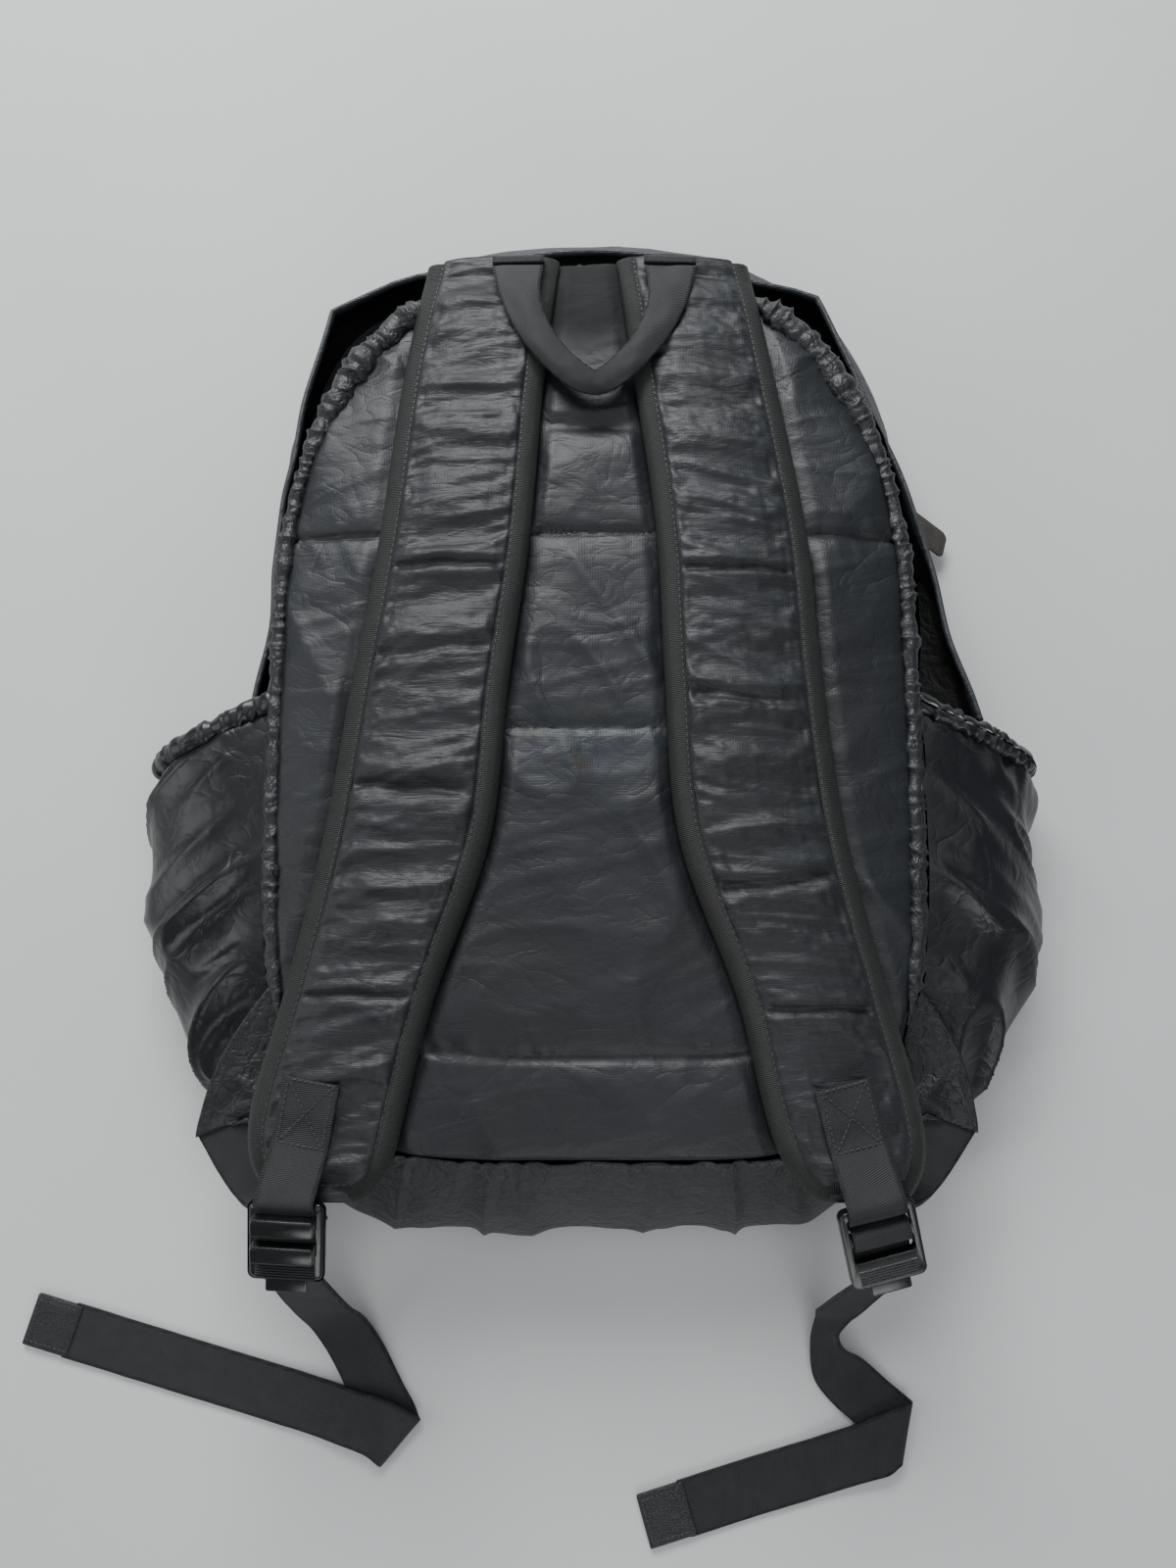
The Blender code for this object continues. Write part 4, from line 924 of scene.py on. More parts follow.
for side, flip in (("left", -1), ("right", 1)):
    around, down = np.meshgrid(np.linspace(0.0, 1.0, 96), np.linspace(0.0, 1.0, 110))
    plain = pocket_points(flip, down, around, 0.0)
    lower = pocket_points(flip, down, around, 0.004)
    outward = plain - lower
    outward /= np.maximum(np.linalg.norm(outward, axis=-1, keepdims=True), 1e-6)
    width = around * POCKET_CLOTH[0]
    length = down * POCKET_CLOTH[1]
    slant = length * 0.75 - width * 0.9
    aside = width * 0.75 + length * 0.9
    fold = creases(slant, aside, (0.026, 0.13), 61 + flip) * 0.0075 - 0.0025
    small = creases(slant + 0.3 * aside, aside, (0.012, 0.06), 64 + flip) * 0.0022
    near_seams = np.exp(-down / 0.06) + np.exp(-(1 - down) / 0.10)
    pucker = ripple(width, length, (0.006, 0.04), 67 + flip) * 0.0016 * near_seams
    held = np.clip(np.minimum(around, 1 - around) / 0.08, 0, 1) * np.clip(down / 0.10, 0, 1) ** 0.5
    moved = (fold + small) * held * np.clip((1 - down) / 0.12, 0.15, 1) + pucker
    shape = plain + outward * moved[..., None]
    shape[..., 2] = np.maximum(shape[..., 2], 0.0006)
    pocket = cloth("side_pocket_cloth_" + side, shape, 0.0007, size=POCKET_CLOTH, inside=(0.0, 0.0, 0.04))
    dress(pocket, black_taffeta, "bag", "taffeta", "side_pocket_" + side)
    rim_line = pocket_points(flip, np.zeros(240), np.linspace(0.0, 1.0, 240), 0.0006)
    rim_line[:, 1] += HEM_RADIUS * 0.8
    rim_line[:, 2] = np.maximum(rim_line[:, 2], HEM_RADIUS + 0.001)
    along = lengths_along(rim_line)
    beat = along + 0.002 * ripple(along, along * 0, (0.011, 1.0), 71)
    swell = 0.90 + 0.14 * np.abs(np.sin(pi * beat / HEM_PITCH))
    turn = np.linspace(0.0, 2 * pi, 27)
    drift = 2.0 * ripple(along, along * 0, (0.02, 1.0), 73)[:, None]
    slope = along[:, None] + 0.0020 * np.sin(turn[None, :] + drift)
    crinkle = 0.86 + 0.34 * creases(slope, turn[None, :] * 0.004 + 0 * slope, (0.0052, 0.012), 74 + flip)
    fullness = HEM_RADIUS * swell[:, None] * crinkle
    hem = swept("pocket_hem_" + side, rim_line, (0.0, 1.0, 0.0), fullness, 1.15 * fullness, 27, along[-1])
    dress(hem, black_taffeta, "bag", "taffeta", "pocket_elastic_" + side)


# ---- Rolled tube ----
# A short roll of glossy coated cloth is sewn to the right wall above the pocket. It shows its
# spiral at its end.

tube_low, tube_high = (np.array(corner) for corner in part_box("rolled_tube_right"))
ROLL_TURN = 5.2 * pi
ROLL_RADII = (0.0016, 0.0040)
roll_turn, roll_along = np.meshgrid(np.linspace(0.0, ROLL_TURN, 130), np.linspace(0.0, 1.0, 16))
roll_radius = ROLL_RADII[0] + (ROLL_RADII[1] - ROLL_RADII[0]) * roll_turn / ROLL_TURN
roll_radius = roll_radius * (1 + 0.03 * ripple(roll_along * 0.02, roll_turn * 0.002, (0.006, 0.003), 78))
roll_middle = (tube_low + tube_high) / 2
roll = np.stack((roll_middle[0] + roll_radius * np.cos(roll_turn),
                 tube_low[1] + (tube_high[1] - tube_low[1]) * roll_along,
                 roll_middle[2] + roll_radius * np.sin(roll_turn)), axis=-1)
rolled_tube = cloth("rolled_cloth_tube", roll, 0.0003, size=(0.05, 0.02), offset=0.0)


def make_gloss_finish():
    finish = Finish("glossy_coated_cloth", (0.012, 0.012, 0.013), 0.22, specular=0.7)
    places = finish.places()
    finish.shades(finish.noise(places, 90.0), 0.6, 1.6)
    crumpled(finish, places, 160.0, 0.0005)
    return finish.material


dress(rolled_tube, make_gloss_finish(), "bag", "coated", "rolled_tube_right")


# ---- Shoulder straps ----
# Each strap is a long pad: sheet foam in a nylon cover that is cut longer than the pad and gathered
# into the edges, so that it ruffles all the way down. Two stitched lines cross it.

STRAP_SEAT = 0.0010
PAD_MIDDLE = 0.0125
BINDING_REACH = 0.0082
CROSS_SEAMS = {"left": (0.165, -0.028), "right": (0.163, -0.034)}
FOLDS = {"left": ((0.125, 0.4), (0.062, -0.5)), "right": ((0.103, -0.4), (0.020, 0.5))}
PAD_PROFILE = ((0.0, 0.28), (0.057, 0.46), (0.14, 0.55), (0.235, 0.585), (0.30, 0.74), (0.40, 0.88),
               (0.60, 0.97), (1.0, 1.0))
COVER_EXTRA = 1.14
LIFT_SHARE = 0.55
LIFT_LIMITS = (-0.0022, 0.0030)
SEWN_ACROSS = 0.77
CLOTH_FRAMES = 25
BEND_START_Y = 0.262
BEND_END_Y = 0.238


def make_strap_finish():
    finish = Finish("ruffled_nylon", (0.0125, 0.0140, 0.0158), 0.46)
    places = finish.places()
    finish.shades(finish.noise(places, 22.0, 4.0, 0.8), 0.72, 1.35)
    finish.feed("Roughness", 0.41 + 0.18 * finish.noise(places, 55.0))
    crumpled(finish, places, 85.0, 0.00055, (0.35, 1.5, 1.0), 0.1)
    finish.weave(places, NYLON_WEAVE, WEAVE_DEPTH)
    return finish.material


def strap_place(side, y, across):
    """Plan place on a strap: across runs from -1 to 1 between its edges."""
    return smooth_value(STRAP_CENTRES[side], y) + across * smooth_value(STRAP_WIDTHS, y) / 2


def pad_height(side, y, across):
    """Height of the padded cover over the back panel, without its wrinkles."""
    inward = 1 - np.abs(across)
    shape = np.interp(inward, [pair[0] for pair in PAD_PROFILE], [pair[1] for pair in PAD_PROFILE])
    top = 0.0002 + PAD_MIDDLE * shape
    sewn_top = np.clip((STRAP_TOP_Y + 0.002 - y) / 0.030, 0.45, 1.0)
    tip = np.clip((y - STRAP_END_Y + 0.004) / 0.020, 0.45, 1.0)
    return top * sewn_top ** 0.5 * tip ** 0.6


def wrinkle_height(side, y, across):
    """Gathers that start at both bindings, folds across the pad, and its stitched lines."""
    seed = 81 if side == "left" else 95
    lean = 0.16 if side == "left" else -0.10
    half = smooth_value(STRAP_WIDTHS, y) / 2
    inward = (1 - np.abs(across)) * half
    aside = across * half
    loose = np.clip((inward - BINDING_REACH + 0.001) / 0.005, 0, 1)
    slanted = y - lean * aside
    gathers = np.zeros_like(y)
    for sign in (-1, 1):
        near = np.exp(-np.abs(inward - BINDING_REACH) / 0.009) * (np.sign(aside) == sign)
        bent = slanted + 0.0012 * ripple(y, aside, (0.009, 0.010), seed + 1)
        bent = bent + 0.08 * aside * ripple(y, aside, (0.03, 1.0), seed + 2)
        gathers = gathers + near * (0.0019 * creases(bent, aside, (0.0048, 0.030), seed + 3 + sign) - 0.0004)
    wander = slanted + 0.20 * aside * ripple(y, aside, (0.05, 1.0), seed + 6)
    folds = 0.0023 * creases(wander, aside, (0.0120, 0.075), seed + 7)
    small = 0.0010 * creases(wander + 0.08 * aside, aside, (0.0058, 0.048), seed + 8)
    tiny = 0.00022 * ripple(slanted, aside, (0.0026, 0.016), seed + 9)
    height = (gathers + (folds + small) * (0.5 + 0.5 * np.clip(inward / half, 0, 1)) + tiny - 0.0018) * loose
    for seam_y in CROSS_SEAMS[side]:
        gap = np.abs(y - seam_y - 0.0008 * ripple(aside, y * 0, (0.012, 1.0), seed + 10))
        height = height * (1 - 0.75 * np.exp(-(gap / 0.004) ** 2))
        height = height - 0.0042 * np.exp(-(gap / 0.0022) ** 2) * loose
    for fold_y, tilt in FOLDS[side]:
        wave = 0.0015 * ripple(aside, y * 0, (0.014, 1.0), seed + 11)
        gap = np.abs(y - fold_y - tilt * 0.22 * aside - wave)
        bank = 0.0014 * np.exp(-((gap - 0.007) / 0.004) ** 2)
        height = height - (0.0021 * np.exp(-(gap / 0.0026) ** 2) - bank) * loose
    return height


def gathered(points, extra, held_rows):
    """Simulates a cover cut longer than its place and sewn down at its edges. Gives how far it lifts."""
    rows, columns = points.shape[:2]
    piece = cloth("cut_cover", points * 0, 0.0)
    mesh = piece.data
    noise = np.random.default_rng(7).uniform(-0.0003, 0.0003, (rows, columns))
    sewn = points.copy()
    sewn[..., 2] += noise
    cut = sewn.copy()
    middle = points[:, :, 1].mean()
    cut[..., 1] = middle + (cut[..., 1] - middle) * extra
    mesh.vertices.foreach_set("co", np.ascontiguousarray(cut, dtype=np.float32).reshape(-1))
    piece.shape_key_add(name="Basis")
    key = piece.shape_key_add(name="sewn")
    key.data.foreach_set("co", np.ascontiguousarray(sewn, dtype=np.float32).reshape(-1))
    for frame_number, value in ((1, 0.0), (15, 1.0)):
        key.value = value
        key.keyframe_insert("value", frame=frame_number)
    index = np.arange(rows * columns).reshape(rows, columns)
    held = [index[row] for row in (0, -1, *held_rows)]
    pinned = np.concatenate([index[:, 0], index[:, -1], *held])
    piece.vertex_groups.new(name="seam").add([int(number) for number in pinned], 1.0, "REPLACE")
    simulation = piece.modifiers.new("cloth", "CLOTH")
    settings = simulation.settings
    settings.quality = 5
    settings.mass = 0.3
    settings.tension_stiffness = 15
    settings.compression_stiffness = 15
    settings.shear_stiffness = 5
    settings.bending_stiffness = 0.02
    settings.air_damping = 1
    settings.vertex_group_mass = "seam"
    settings.effector_weights.gravity = 0
    simulation.point_cache.frame_start = 1
    simulation.point_cache.frame_end = 30
    for frame_number in range(1, CLOTH_FRAMES + 1):
        bpy.context.scene.frame_set(frame_number)
    shown = piece.evaluated_get(bpy.context.evaluated_depsgraph_get()).data
    result = np.empty(len(shown.vertices) * 3)
    shown.vertices.foreach_get("co", result)
    lift = result.reshape(rows, columns, 3)[..., 2] - points[..., 2]
    bpy.context.scene.frame_set(1)
    bpy.data.objects.remove(piece, do_unlink=True)
    return lift


def ease(grid, rows, columns):
    """The grid's values, read smoothly at more rows and columns."""
    old_rows, old_columns = grid.shape
    down = np.linspace(0, old_rows - 1, rows)
    right = np.linspace(0, old_columns - 1, columns)
    wide = np.stack([np.interp(right, np.arange(old_columns), row) for row in grid])
    return np.stack([np.interp(down, np.arange(old_rows), column) for column in wide.T], axis=1)


def bend_at_shoulder(piece, side):
    """Puts a finished piece's place into its mesh, and its object at the origin."""
    x = float(smooth_value(STRAP_CENTRES[side], (BEND_START_Y + BEND_END_Y) / 2))
    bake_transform(piece)


ruffled_nylon = make_strap_finish()
STRAP_ROWS = 330
STRAP_COLUMNS = 64
even_across = np.linspace(-1.0, 1.0, STRAP_COLUMNS)
for side in ("left", "right"):
    across, y = np.meshgrid(even_across, np.linspace(STRAP_TOP_Y, STRAP_END_Y, STRAP_ROWS))
    x = strap_place(side, y, across)
    base = back_height(x, y)
    z = base + pad_height(side, y, across)
    lift = np.zeros_like(z)
    rough_across, rough_y = np.meshgrid(np.linspace(-SEWN_ACROSS, SEWN_ACROSS, 26),
                                        np.linspace(STRAP_TOP_Y, STRAP_END_Y, 170))
    rough_x = strap_place(side, rough_y, rough_across)
    rough_z = back_height(rough_x, rough_y) + pad_height(side, rough_y, rough_across)
    held = [int(np.argmin(np.abs(rough_y[:, 0] - seam_y))) for seam_y in CROSS_SEAMS[side]]
    raised = gathered(np.stack((rough_x, rough_y, rough_z), axis=-1), COVER_EXTRA, held)
    raised = ease(np.clip(raised - np.median(raised), *LIFT_LIMITS), STRAP_ROWS, STRAP_COLUMNS)
    spread = np.array([np.interp(even_across / SEWN_ACROSS, even_across, row) for row in raised])
    lift = np.where(np.abs(across) < SEWN_ACROSS, spread, 0.0)
    top = np.maximum(z + lift * LIFT_SHARE + wrinkle_height(side, y, across), base + 0.0030)
    points = np.stack((x, y, top), axis=-1)
    under = points[:, ::-1].copy()
    under[..., 2] = base[:, ::-1] + STRAP_SEAT + 0.0011
    ring = np.concatenate((points, under[:, ::4], points[:, :1]), axis=1)
    cover = close_ends(cloth("strap_pad_" + side, ring, 0.0, size=(0.15, 0.45), joined=True))
    dress(cover, ruffled_nylon, None, "nylon", "strap_cover_" + side, "strap_foam_" + side,
          "strap_top_" + side)
    finish_node("strap_backing_" + side, lining_cloth)
    bend_at_shoulder(cover, side)


# ---- Strap bindings ----
# A ribbed grosgrain tape is folded over each strap's edge and sewn through, all round its free end.
# One row of stitches runs near the tape's inner edge.

STITCH_PITCH = 0.0032
STITCH_LENGTH = 0.0021
STITCH_WIDTH = 0.0006


def make_grosgrain_finish():
    finish = Finish("ribbed_grosgrain", (0.0105, 0.0107, 0.0095), 0.62, sheen=0.05)
    across, along = finish.cloth_places()
    ribs = (along * (2 * pi / 0.00085)).sine()
    finish.bump(ribs, 0.00022)
    finish.shades(0.5 + 0.10 * ribs + 0.6 * (finish.noise(finish.places(), 120.0) - 0.5), 0.65, 1.35)
    return finish.material


def make_thread_finish():
    finish = Finish("dark_thread", (0.045, 0.045, 0.046), 0.5)
    finish.shades(finish.noise(finish.places(), 900.0), 0.6, 1.6)
    return finish.material


def stitches(name, line, material, length=STITCH_LENGTH):
    """A row of stitches along a line: low six-sided beads on an upward surface."""
    ring = np.linspace(0, 2 * pi, 7)[:-1]
    stations = np.array((-0.5, -0.32, 0.0, 0.32, 0.5))
    sizes = np.array((0.25, 0.85, 1.0, 0.85, 0.25))
    vertices = []
    faces = []
    for place, way in zip(*line):
        side = np.cross(way, UP)
        first = len(vertices)
        for station, size in zip(stations, sizes):
            for turn in ring:
                vertices.append(place + way * station * length
                                + (side * np.cos(turn) + UP * np.sin(turn) * 0.7) * size * STITCH_WIDTH / 2)
        for row in range(4):
            for step in range(6):
                a = first + row * 6 + step
                b = first + row * 6 + (step + 1) % 6
                faces.append((a, b, b + 6, a + 6))
        faces.append(tuple(first + step for step in range(5, -1, -1)))
        faces.append(tuple(first + 24 + step for step in range(6)))
    mesh = bpy.data.meshes.new(name)
    mesh.from_pydata([tuple(vertex) for vertex in vertices], [], faces)
    mesh.materials.append(material)
    piece = bpy.data.objects.new(name, mesh)
    bpy.context.scene.collection.objects.link(piece)
    select_only(piece)
    on_all(bpy.ops.mesh.normals_make_consistent, inside=False)
    return piece


def stitch_line(path, pitch=STITCH_PITCH):
    """Even places along a path, with the ways along it there."""
    path = np.asarray(path)
    along = lengths_along(path)
    spots = np.arange(pitch, along[-1] - pitch / 2, pitch)
    places = np.stack([np.interp(spots, along, path[:, axis]) for axis in range(3)], axis=-1)
    ahead = np.stack([np.interp(spots + 0.0008, along, path[:, axis]) for axis in range(3)], axis=-1)
    ways = ahead - places
    ways /= np.maximum(np.linalg.norm(ways, axis=1, keepdims=True), 1e-9)
    return places, ways


def binding_outline(side, steps):
    """The strap's outline from its top, down the left edge, round the end and up, with ways inward."""
    y = np.linspace(STRAP_TOP_Y, STRAP_END_Y, steps)
    left = np.stack((strap_place(side, y, -1.0), y), axis=-1)
    right = np.stack((strap_place(side, y, 1.0), y), axis=-1)[::-1]
    end = np.linspace(left[-1], right[0], 24)[1:-1]
    line = np.concatenate((left, end, right))
    for _ in range(10):
        line[1:-1] = (line[:-2] + line[1:-1] * 2 + line[2:]) / 4
    ahead = np.gradient(line, axis=0)
    ahead /= np.linalg.norm(ahead, axis=1, keepdims=True)
    return line, np.stack((-ahead[:, 1], ahead[:, 0]), axis=-1)


ribbed_grosgrain = make_grosgrain_finish()
dark_thread = make_thread_finish()
BINDING_SECTION = ((0.0086, 0.0076), (0.0084, 0.0084), (0.0050, 0.0080), (0.0020, 0.0070), (0.0002, 0.0052),
                   (-0.0006, 0.0036), (0.0002, 0.0019), (0.0020, 0.0011), (0.0070, 0.0010))
for side in ("left", "right"):
    line, inward = binding_outline(side, 330)
    along = lengths_along(line)
    rows = []
    for reach, height in BINDING_SECTION:
        place = line + inward * reach
        sewn = np.clip((STRAP_TOP_Y + 0.002 - place[:, 1]) / 0.030, 0.45, 1.0) ** 0.5
        wobble = 0.00035 * ripple(along, along * 0 + reach, (0.009, 0.003), 121) * (height > 0.004)
        z = back_height(place[:, 0], place[:, 1]) + height * np.where(height > 0.002, sewn, 1.0) + wobble
        rows.append(np.column_stack((place, z)))
    section = np.array(rows).transpose(1, 0, 2)
    binding = cloth("strap_edge_" + side, section, 0.0007, size=(0.022, along[-1]), offset=0.0)
    dress(binding, ribbed_grosgrain, None, "grosgrain", "strap_binding_" + side)
    bend_at_shoulder(binding, side)
    row_path = rows[2] * 0.35 + rows[1] * 0.65 + np.array((0, 0, 0.0004))
    row = stitches("strap_stitches_" + side, stitch_line(row_path), dark_thread)
    bend_at_shoulder(row, side)


# ---- Grab handle ----
# A loop of webbing between the straps, folded narrow at the grip. Its two flat ends are sewn into
# the top of the back panel.

HANDLE_Y = 0.3225
HANDLE_DROP = 0.0695
HANDLE_HALF_WIDTH = 0.037
HANDLE_GRIP = 0.013
HANDLE_TOP = 0.0130
HANDLE_THICKNESS = 0.0022
HANDLE_LENGTH = 0.21
WEBBING_WIDTH = 0.025
WEBBING = 0.0016


def make_webbing_finish():
    finish = Finish("twill_webbing", (0.0105, 0.0112, 0.0122), 0.64, sheen=0.05)
    across, along = finish.cloth_places()
    ribs = (along * (2 * pi / 0.0009) + across * (2 * pi / 0.0030)).sine()
    finish.bump(ribs, 0.00009)
    edge = ((across - WEBBING_WIDTH / 2).size()).above(WEBBING_WIDTH / 2 - 0.0014)
    finish.bump((along * (2 * pi / 0.0010)).sine() * edge, 0.0003)
    finish.shades(0.5 + 0.10 * ribs + 0.7 * (finish.noise(finish.places(), 150.0) - 0.5), 0.65, 1.4)
    return finish.material


twill_webbing = make_webbing_finish()


def handle_line(share):
    """The handle's middle line in plan, from its left end round to its right one."""
    angle = pi * share
    squeeze = 0.55 + 0.45 * np.cos(angle) ** 2
    x = -HANDLE_HALF_WIDTH * np.cos(angle) * squeeze
    y = HANDLE_Y - HANDLE_DROP * np.abs(np.sin(angle)) ** 0.8
    return x, y


count = 260
share = np.linspace(0.004, 0.996, count)
middle_x, middle_y = handle_line(share)
ahead = np.stack((np.gradient(middle_x), np.gradient(middle_y)), axis=-1)
ahead /= np.linalg.norm(ahead, axis=1, keepdims=True)
aside = np.stack((-ahead[:, 1], ahead[:, 0]), axis=-1)
ending = np.abs(2 * share - 1) ** 5
target = np.stack((np.where(aside[:, 0] >= 0, 1.0, -1.0), np.zeros(count)), axis=-1)
aside = aside * (1 - ending[:, None]) + target * ending[:, None]
aside /= np.linalg.norm(aside, axis=1, keepdims=True)
width = HANDLE_GRIP + (WEBBING_WIDTH - HANDLE_GRIP) * ending
across = np.linspace(-0.5, 0.5, 15)
curl = 0.0022 * (1 - ending)
x = middle_x[:, None] + aside[:, :1] * across * width[:, None]
y = middle_y[:, None] + aside[:, 1:] * across * width[:, None]
z = back_height(x, np.minimum(y, HANDLE_Y)) + HANDLE_TOP + curl[:, None] * (1 - (2 * across) ** 2)
z = z + 0.0007 * ripple(share[:, None] * 0.2 + 0 * x, across * 0.02 + 0 * x, (0.012, 0.008), 131)
handle = cloth("grab_handle_webbing", np.stack((x, y, z), axis=-1), HANDLE_THICKNESS,
               size=(WEBBING_WIDTH, HANDLE_LENGTH), offset=0.0)
dress(handle, twill_webbing, "handle", "webbing", "grab_handle")
for side, flip in (("left", -1), ("right", 1)):
    across, along = np.meshgrid(np.linspace(-0.5, 0.5, 13), np.linspace(0.0, 1.0, 19))
    x = flip * HANDLE_HALF_WIDTH + across * WEBBING_WIDTH
    y = HANDLE_Y + 0.0004 + 0.0064 * along
    z = back_height(x, y) + HANDLE_TOP - (HANDLE_TOP - 0.0020) * np.clip(2 * along - 1, 0, 1) ** 1.4
    handle_end = cloth("grab_handle_end_" + side, np.stack((x, y, z), axis=-1), HANDLE_THICKNESS,
                       size=(WEBBING_WIDTH, 0.012), offset=0.0)
    dress(handle_end, twill_webbing, "bag", "webbing", "handle_end_" + side)


# ---- Strap webbing and buckles ----
# Webbing is box-stitched on each strap's end and holds a moulded ladder lock. The long webbing comes
# from the side seam, goes over the buckle's middle bar, and hangs out as a free tail.

BUCKLE_SIZE = (0.033, 0.036, 0.005)
BUCKLE_BAR = 0.004
BUCKLES = {
    "left": {"bar": (-0.130, -0.115, 0.089), "turn": -3, "patch": -10},
    "right": {"bar": (0.118, -0.116, 0.089), "turn": 14, "patch": 14},
}


def make_acetal_finish():
    finish = Finish("black_acetal", (0.0055, 0.0055, 0.0060), 0.2, specular=0.6)
    places = finish.places()
    finish.shades(finish.noise(places, 120.0), 0.7, 1.5)
    finish.feed("Roughness", 0.16 + 0.18 * finish.noise(places, 260.0, 4.0))
    finish.bump(finish.noise(places, 1800.0, 2.0), 0.00003)
    return finish.material


black_acetal = make_acetal_finish()


def buckle_matrix(side):
    data = BUCKLES[side]
    turn = Matrix.Rotation(radians(data["turn"]), 4, "Z") @ Matrix.Rotation(radians(20), 4, "X")
    return Matrix.Translation(Vector(data["bar"])) @ turn


def cut_with(piece, cutter):
    cut = piece.modifiers.new("cut", "BOOLEAN")
    cut.operation = "DIFFERENCE"
    cut.object = cutter
    select_only(piece)
    bpy.ops.object.modifier_apply(modifier=cut.name)
    bpy.data.objects.remove(cutter, do_unlink=True)


def make_ladder_lock(side):
    """A frame with two slots, a round loop bar, a ribbed gripping bar and a curved thumb tab."""
    wide, long, thick = BUCKLE_SIZE
    middle_y = BUCKLE_BAR / 2 - long / 2
    body = start_with(bpy.ops.mesh.primitive_cube_add, size=1.0, location=(0.0, middle_y, 0.0))
    body.name = "ladder_lock_body_" + side
    body.scale = (wide, long, thick)
    bpy.ops.object.transform_apply(location=True, rotation=False, scale=True)
    bpy.ops.object.mode_set(mode="EDIT")
    bpy.ops.mesh.select_all(action="DESELECT")
    bpy.ops.object.mode_set(mode="OBJECT")
    for edge_line in body.data.edges:
        ends = [body.data.vertices[number].co for number in edge_line.vertices]
        edge_line.select = abs(ends[0].z - ends[1].z) > thick / 2
    bpy.ops.object.mode_set(mode="EDIT")
    bpy.ops.mesh.select_mode(type="EDGE")
    bpy.ops.mesh.bevel(offset=0.0035, segments=5)
    bpy.ops.object.mode_set(mode="OBJECT")
    for slot_y in (-BUCKLE_BAR / 2 - 0.004, -BUCKLE_BAR * 1.5 - 0.012):
        cutter = box_piece("slot_cutter", (0.0, slot_y, 0.0), (0.0265, 0.008, 0.02), 0.0012, 2)
        cut_with(body, cutter)
    rounding = body.modifiers.new("rounding", "BEVEL")
    rounding.width = 0.0009
    rounding.segments = 3
    rounding.limit_method = "ANGLE"
    bpy.ops.object.modifier_apply(modifier=rounding.name)
    pieces = []
    for number in range(6):
        rib_y = -0.0262 - number * 0.0012
        rib = start_with(bpy.ops.mesh.primitive_cylinder_add, vertices=14, radius=0.00055, depth=0.0255,
                         location=(0.0, rib_y, thick / 2 - 0.0001), rotation=(0.0, pi / 2, 0.0))
        pieces.append(rib)
    tab = box_piece("thumb_tab", (0.0, -0.0362, -0.0006), (wide * 0.55, 0.0075, thick * 0.55), 0.0011)
    for corner in tab.data.vertices:
        corner.co.z += 26.0 * max(-corner.co.y, 0.0) ** 2
    pieces.append(tab)
    for piece in pieces:
        select_only(piece)
        bpy.ops.object.transform_apply(location=True, rotation=True, scale=True)
    return settle(joined_with(body, *pieces), buckle_matrix(side))


def ribbon_points(route, per_span, columns, seed, wave=0.0003):
    """Flat webbing along a smooth route of middles and ways across, both in millimetres."""
    centres = np.array([middle for middle, _ in route], dtype=float) * 0.001
    ways = np.array([way for _, way in route], dtype=float) * 0.001
    last = len(route) - 1
    spots = np.linspace(0, last, last * per_span + 1)

    def at(values, spot):
        index = np.minimum(spot.astype(int), last - 1)
        part = (spot - index)[:, None]
        before, start = values[np.maximum(index - 1, 0)], values[index]
        end, after = values[index + 1], values[np.minimum(index + 2, last)]
        return 0.5 * (start * 2 + (end - before) * part
                      + (before * 2 - start * 5 + end * 4 - after) * part ** 2
                      + (start * 3 - before - end * 3 + after) * part ** 3)

    rough = at(centres, spots)
    travelled = lengths_along(rough)
    spots = np.interp(np.linspace(0, travelled[-1], len(spots)), travelled, spots)
    middle = at(centres, spots)
    way = at(ways, spots)
    ahead = at(centres, np.minimum(spots + 0.02, last)) - at(centres, np.maximum(spots - 0.02, 0))
    normal = np.cross(way, ahead)
    normal /= np.linalg.norm(normal, axis=1, keepdims=True)
    across = np.linspace(-0.5, 0.5, columns)
    points = middle[:, None] + way[:, None] * across[None, :, None]
    along = lengths_along(middle)
    lift = wave * ripple(*np.broadcast_arrays(along[:, None], across * WEBBING_WIDTH), (0.011, 0.012), seed)
    return points + normal[:, None] * lift[..., None], along[-1]


def webbing_cloth(name, points, length):
    return cloth(name, points, WEBBING, size=(WEBBING_WIDTH, length), offset=0.0)


def in_buckle(side, places):
    """Route points from places along and up in a buckle's own frame, in millimetres."""
    matrix = buckle_matrix(side)
    way = tuple(matrix.to_3x3() @ Vector((25.0, 0.0, 0.0)))
    route = []
    for along, up in places:
        route.append((tuple((matrix @ Vector((0.0, along * 0.001, up * 0.001))) * 1000), way))
    return route


def patch_route(side):
    data = BUCKLES[side]
    turn = radians(data["patch"])
    down = np.array((sin(turn), -cos(turn)))
    way = np.array((cos(turn), sin(turn))) * 25
    start = np.array(data["bar"][:2]) * 1000 - down * 52
    route = []
    for reach in (0, 14, 28):
        middle = start + down * reach
        ends = [middle - way / 2, middle + way / 2]
        heights = []
        for end in ends:
            heights.append(float(back_height(end[0] * 0.001, end[1] * 0.001)) * 1000 + PATCH_LIFT)
        route.append(((*middle, sum(heights) / 2), (*way, heights[1] - heights[0])))
    return route + in_buckle(side, ((5, 4.6), (0, 4.2), (-3.2, 3.2), (-4.6, 0), (-3.2, -3.2), (0, -4)))


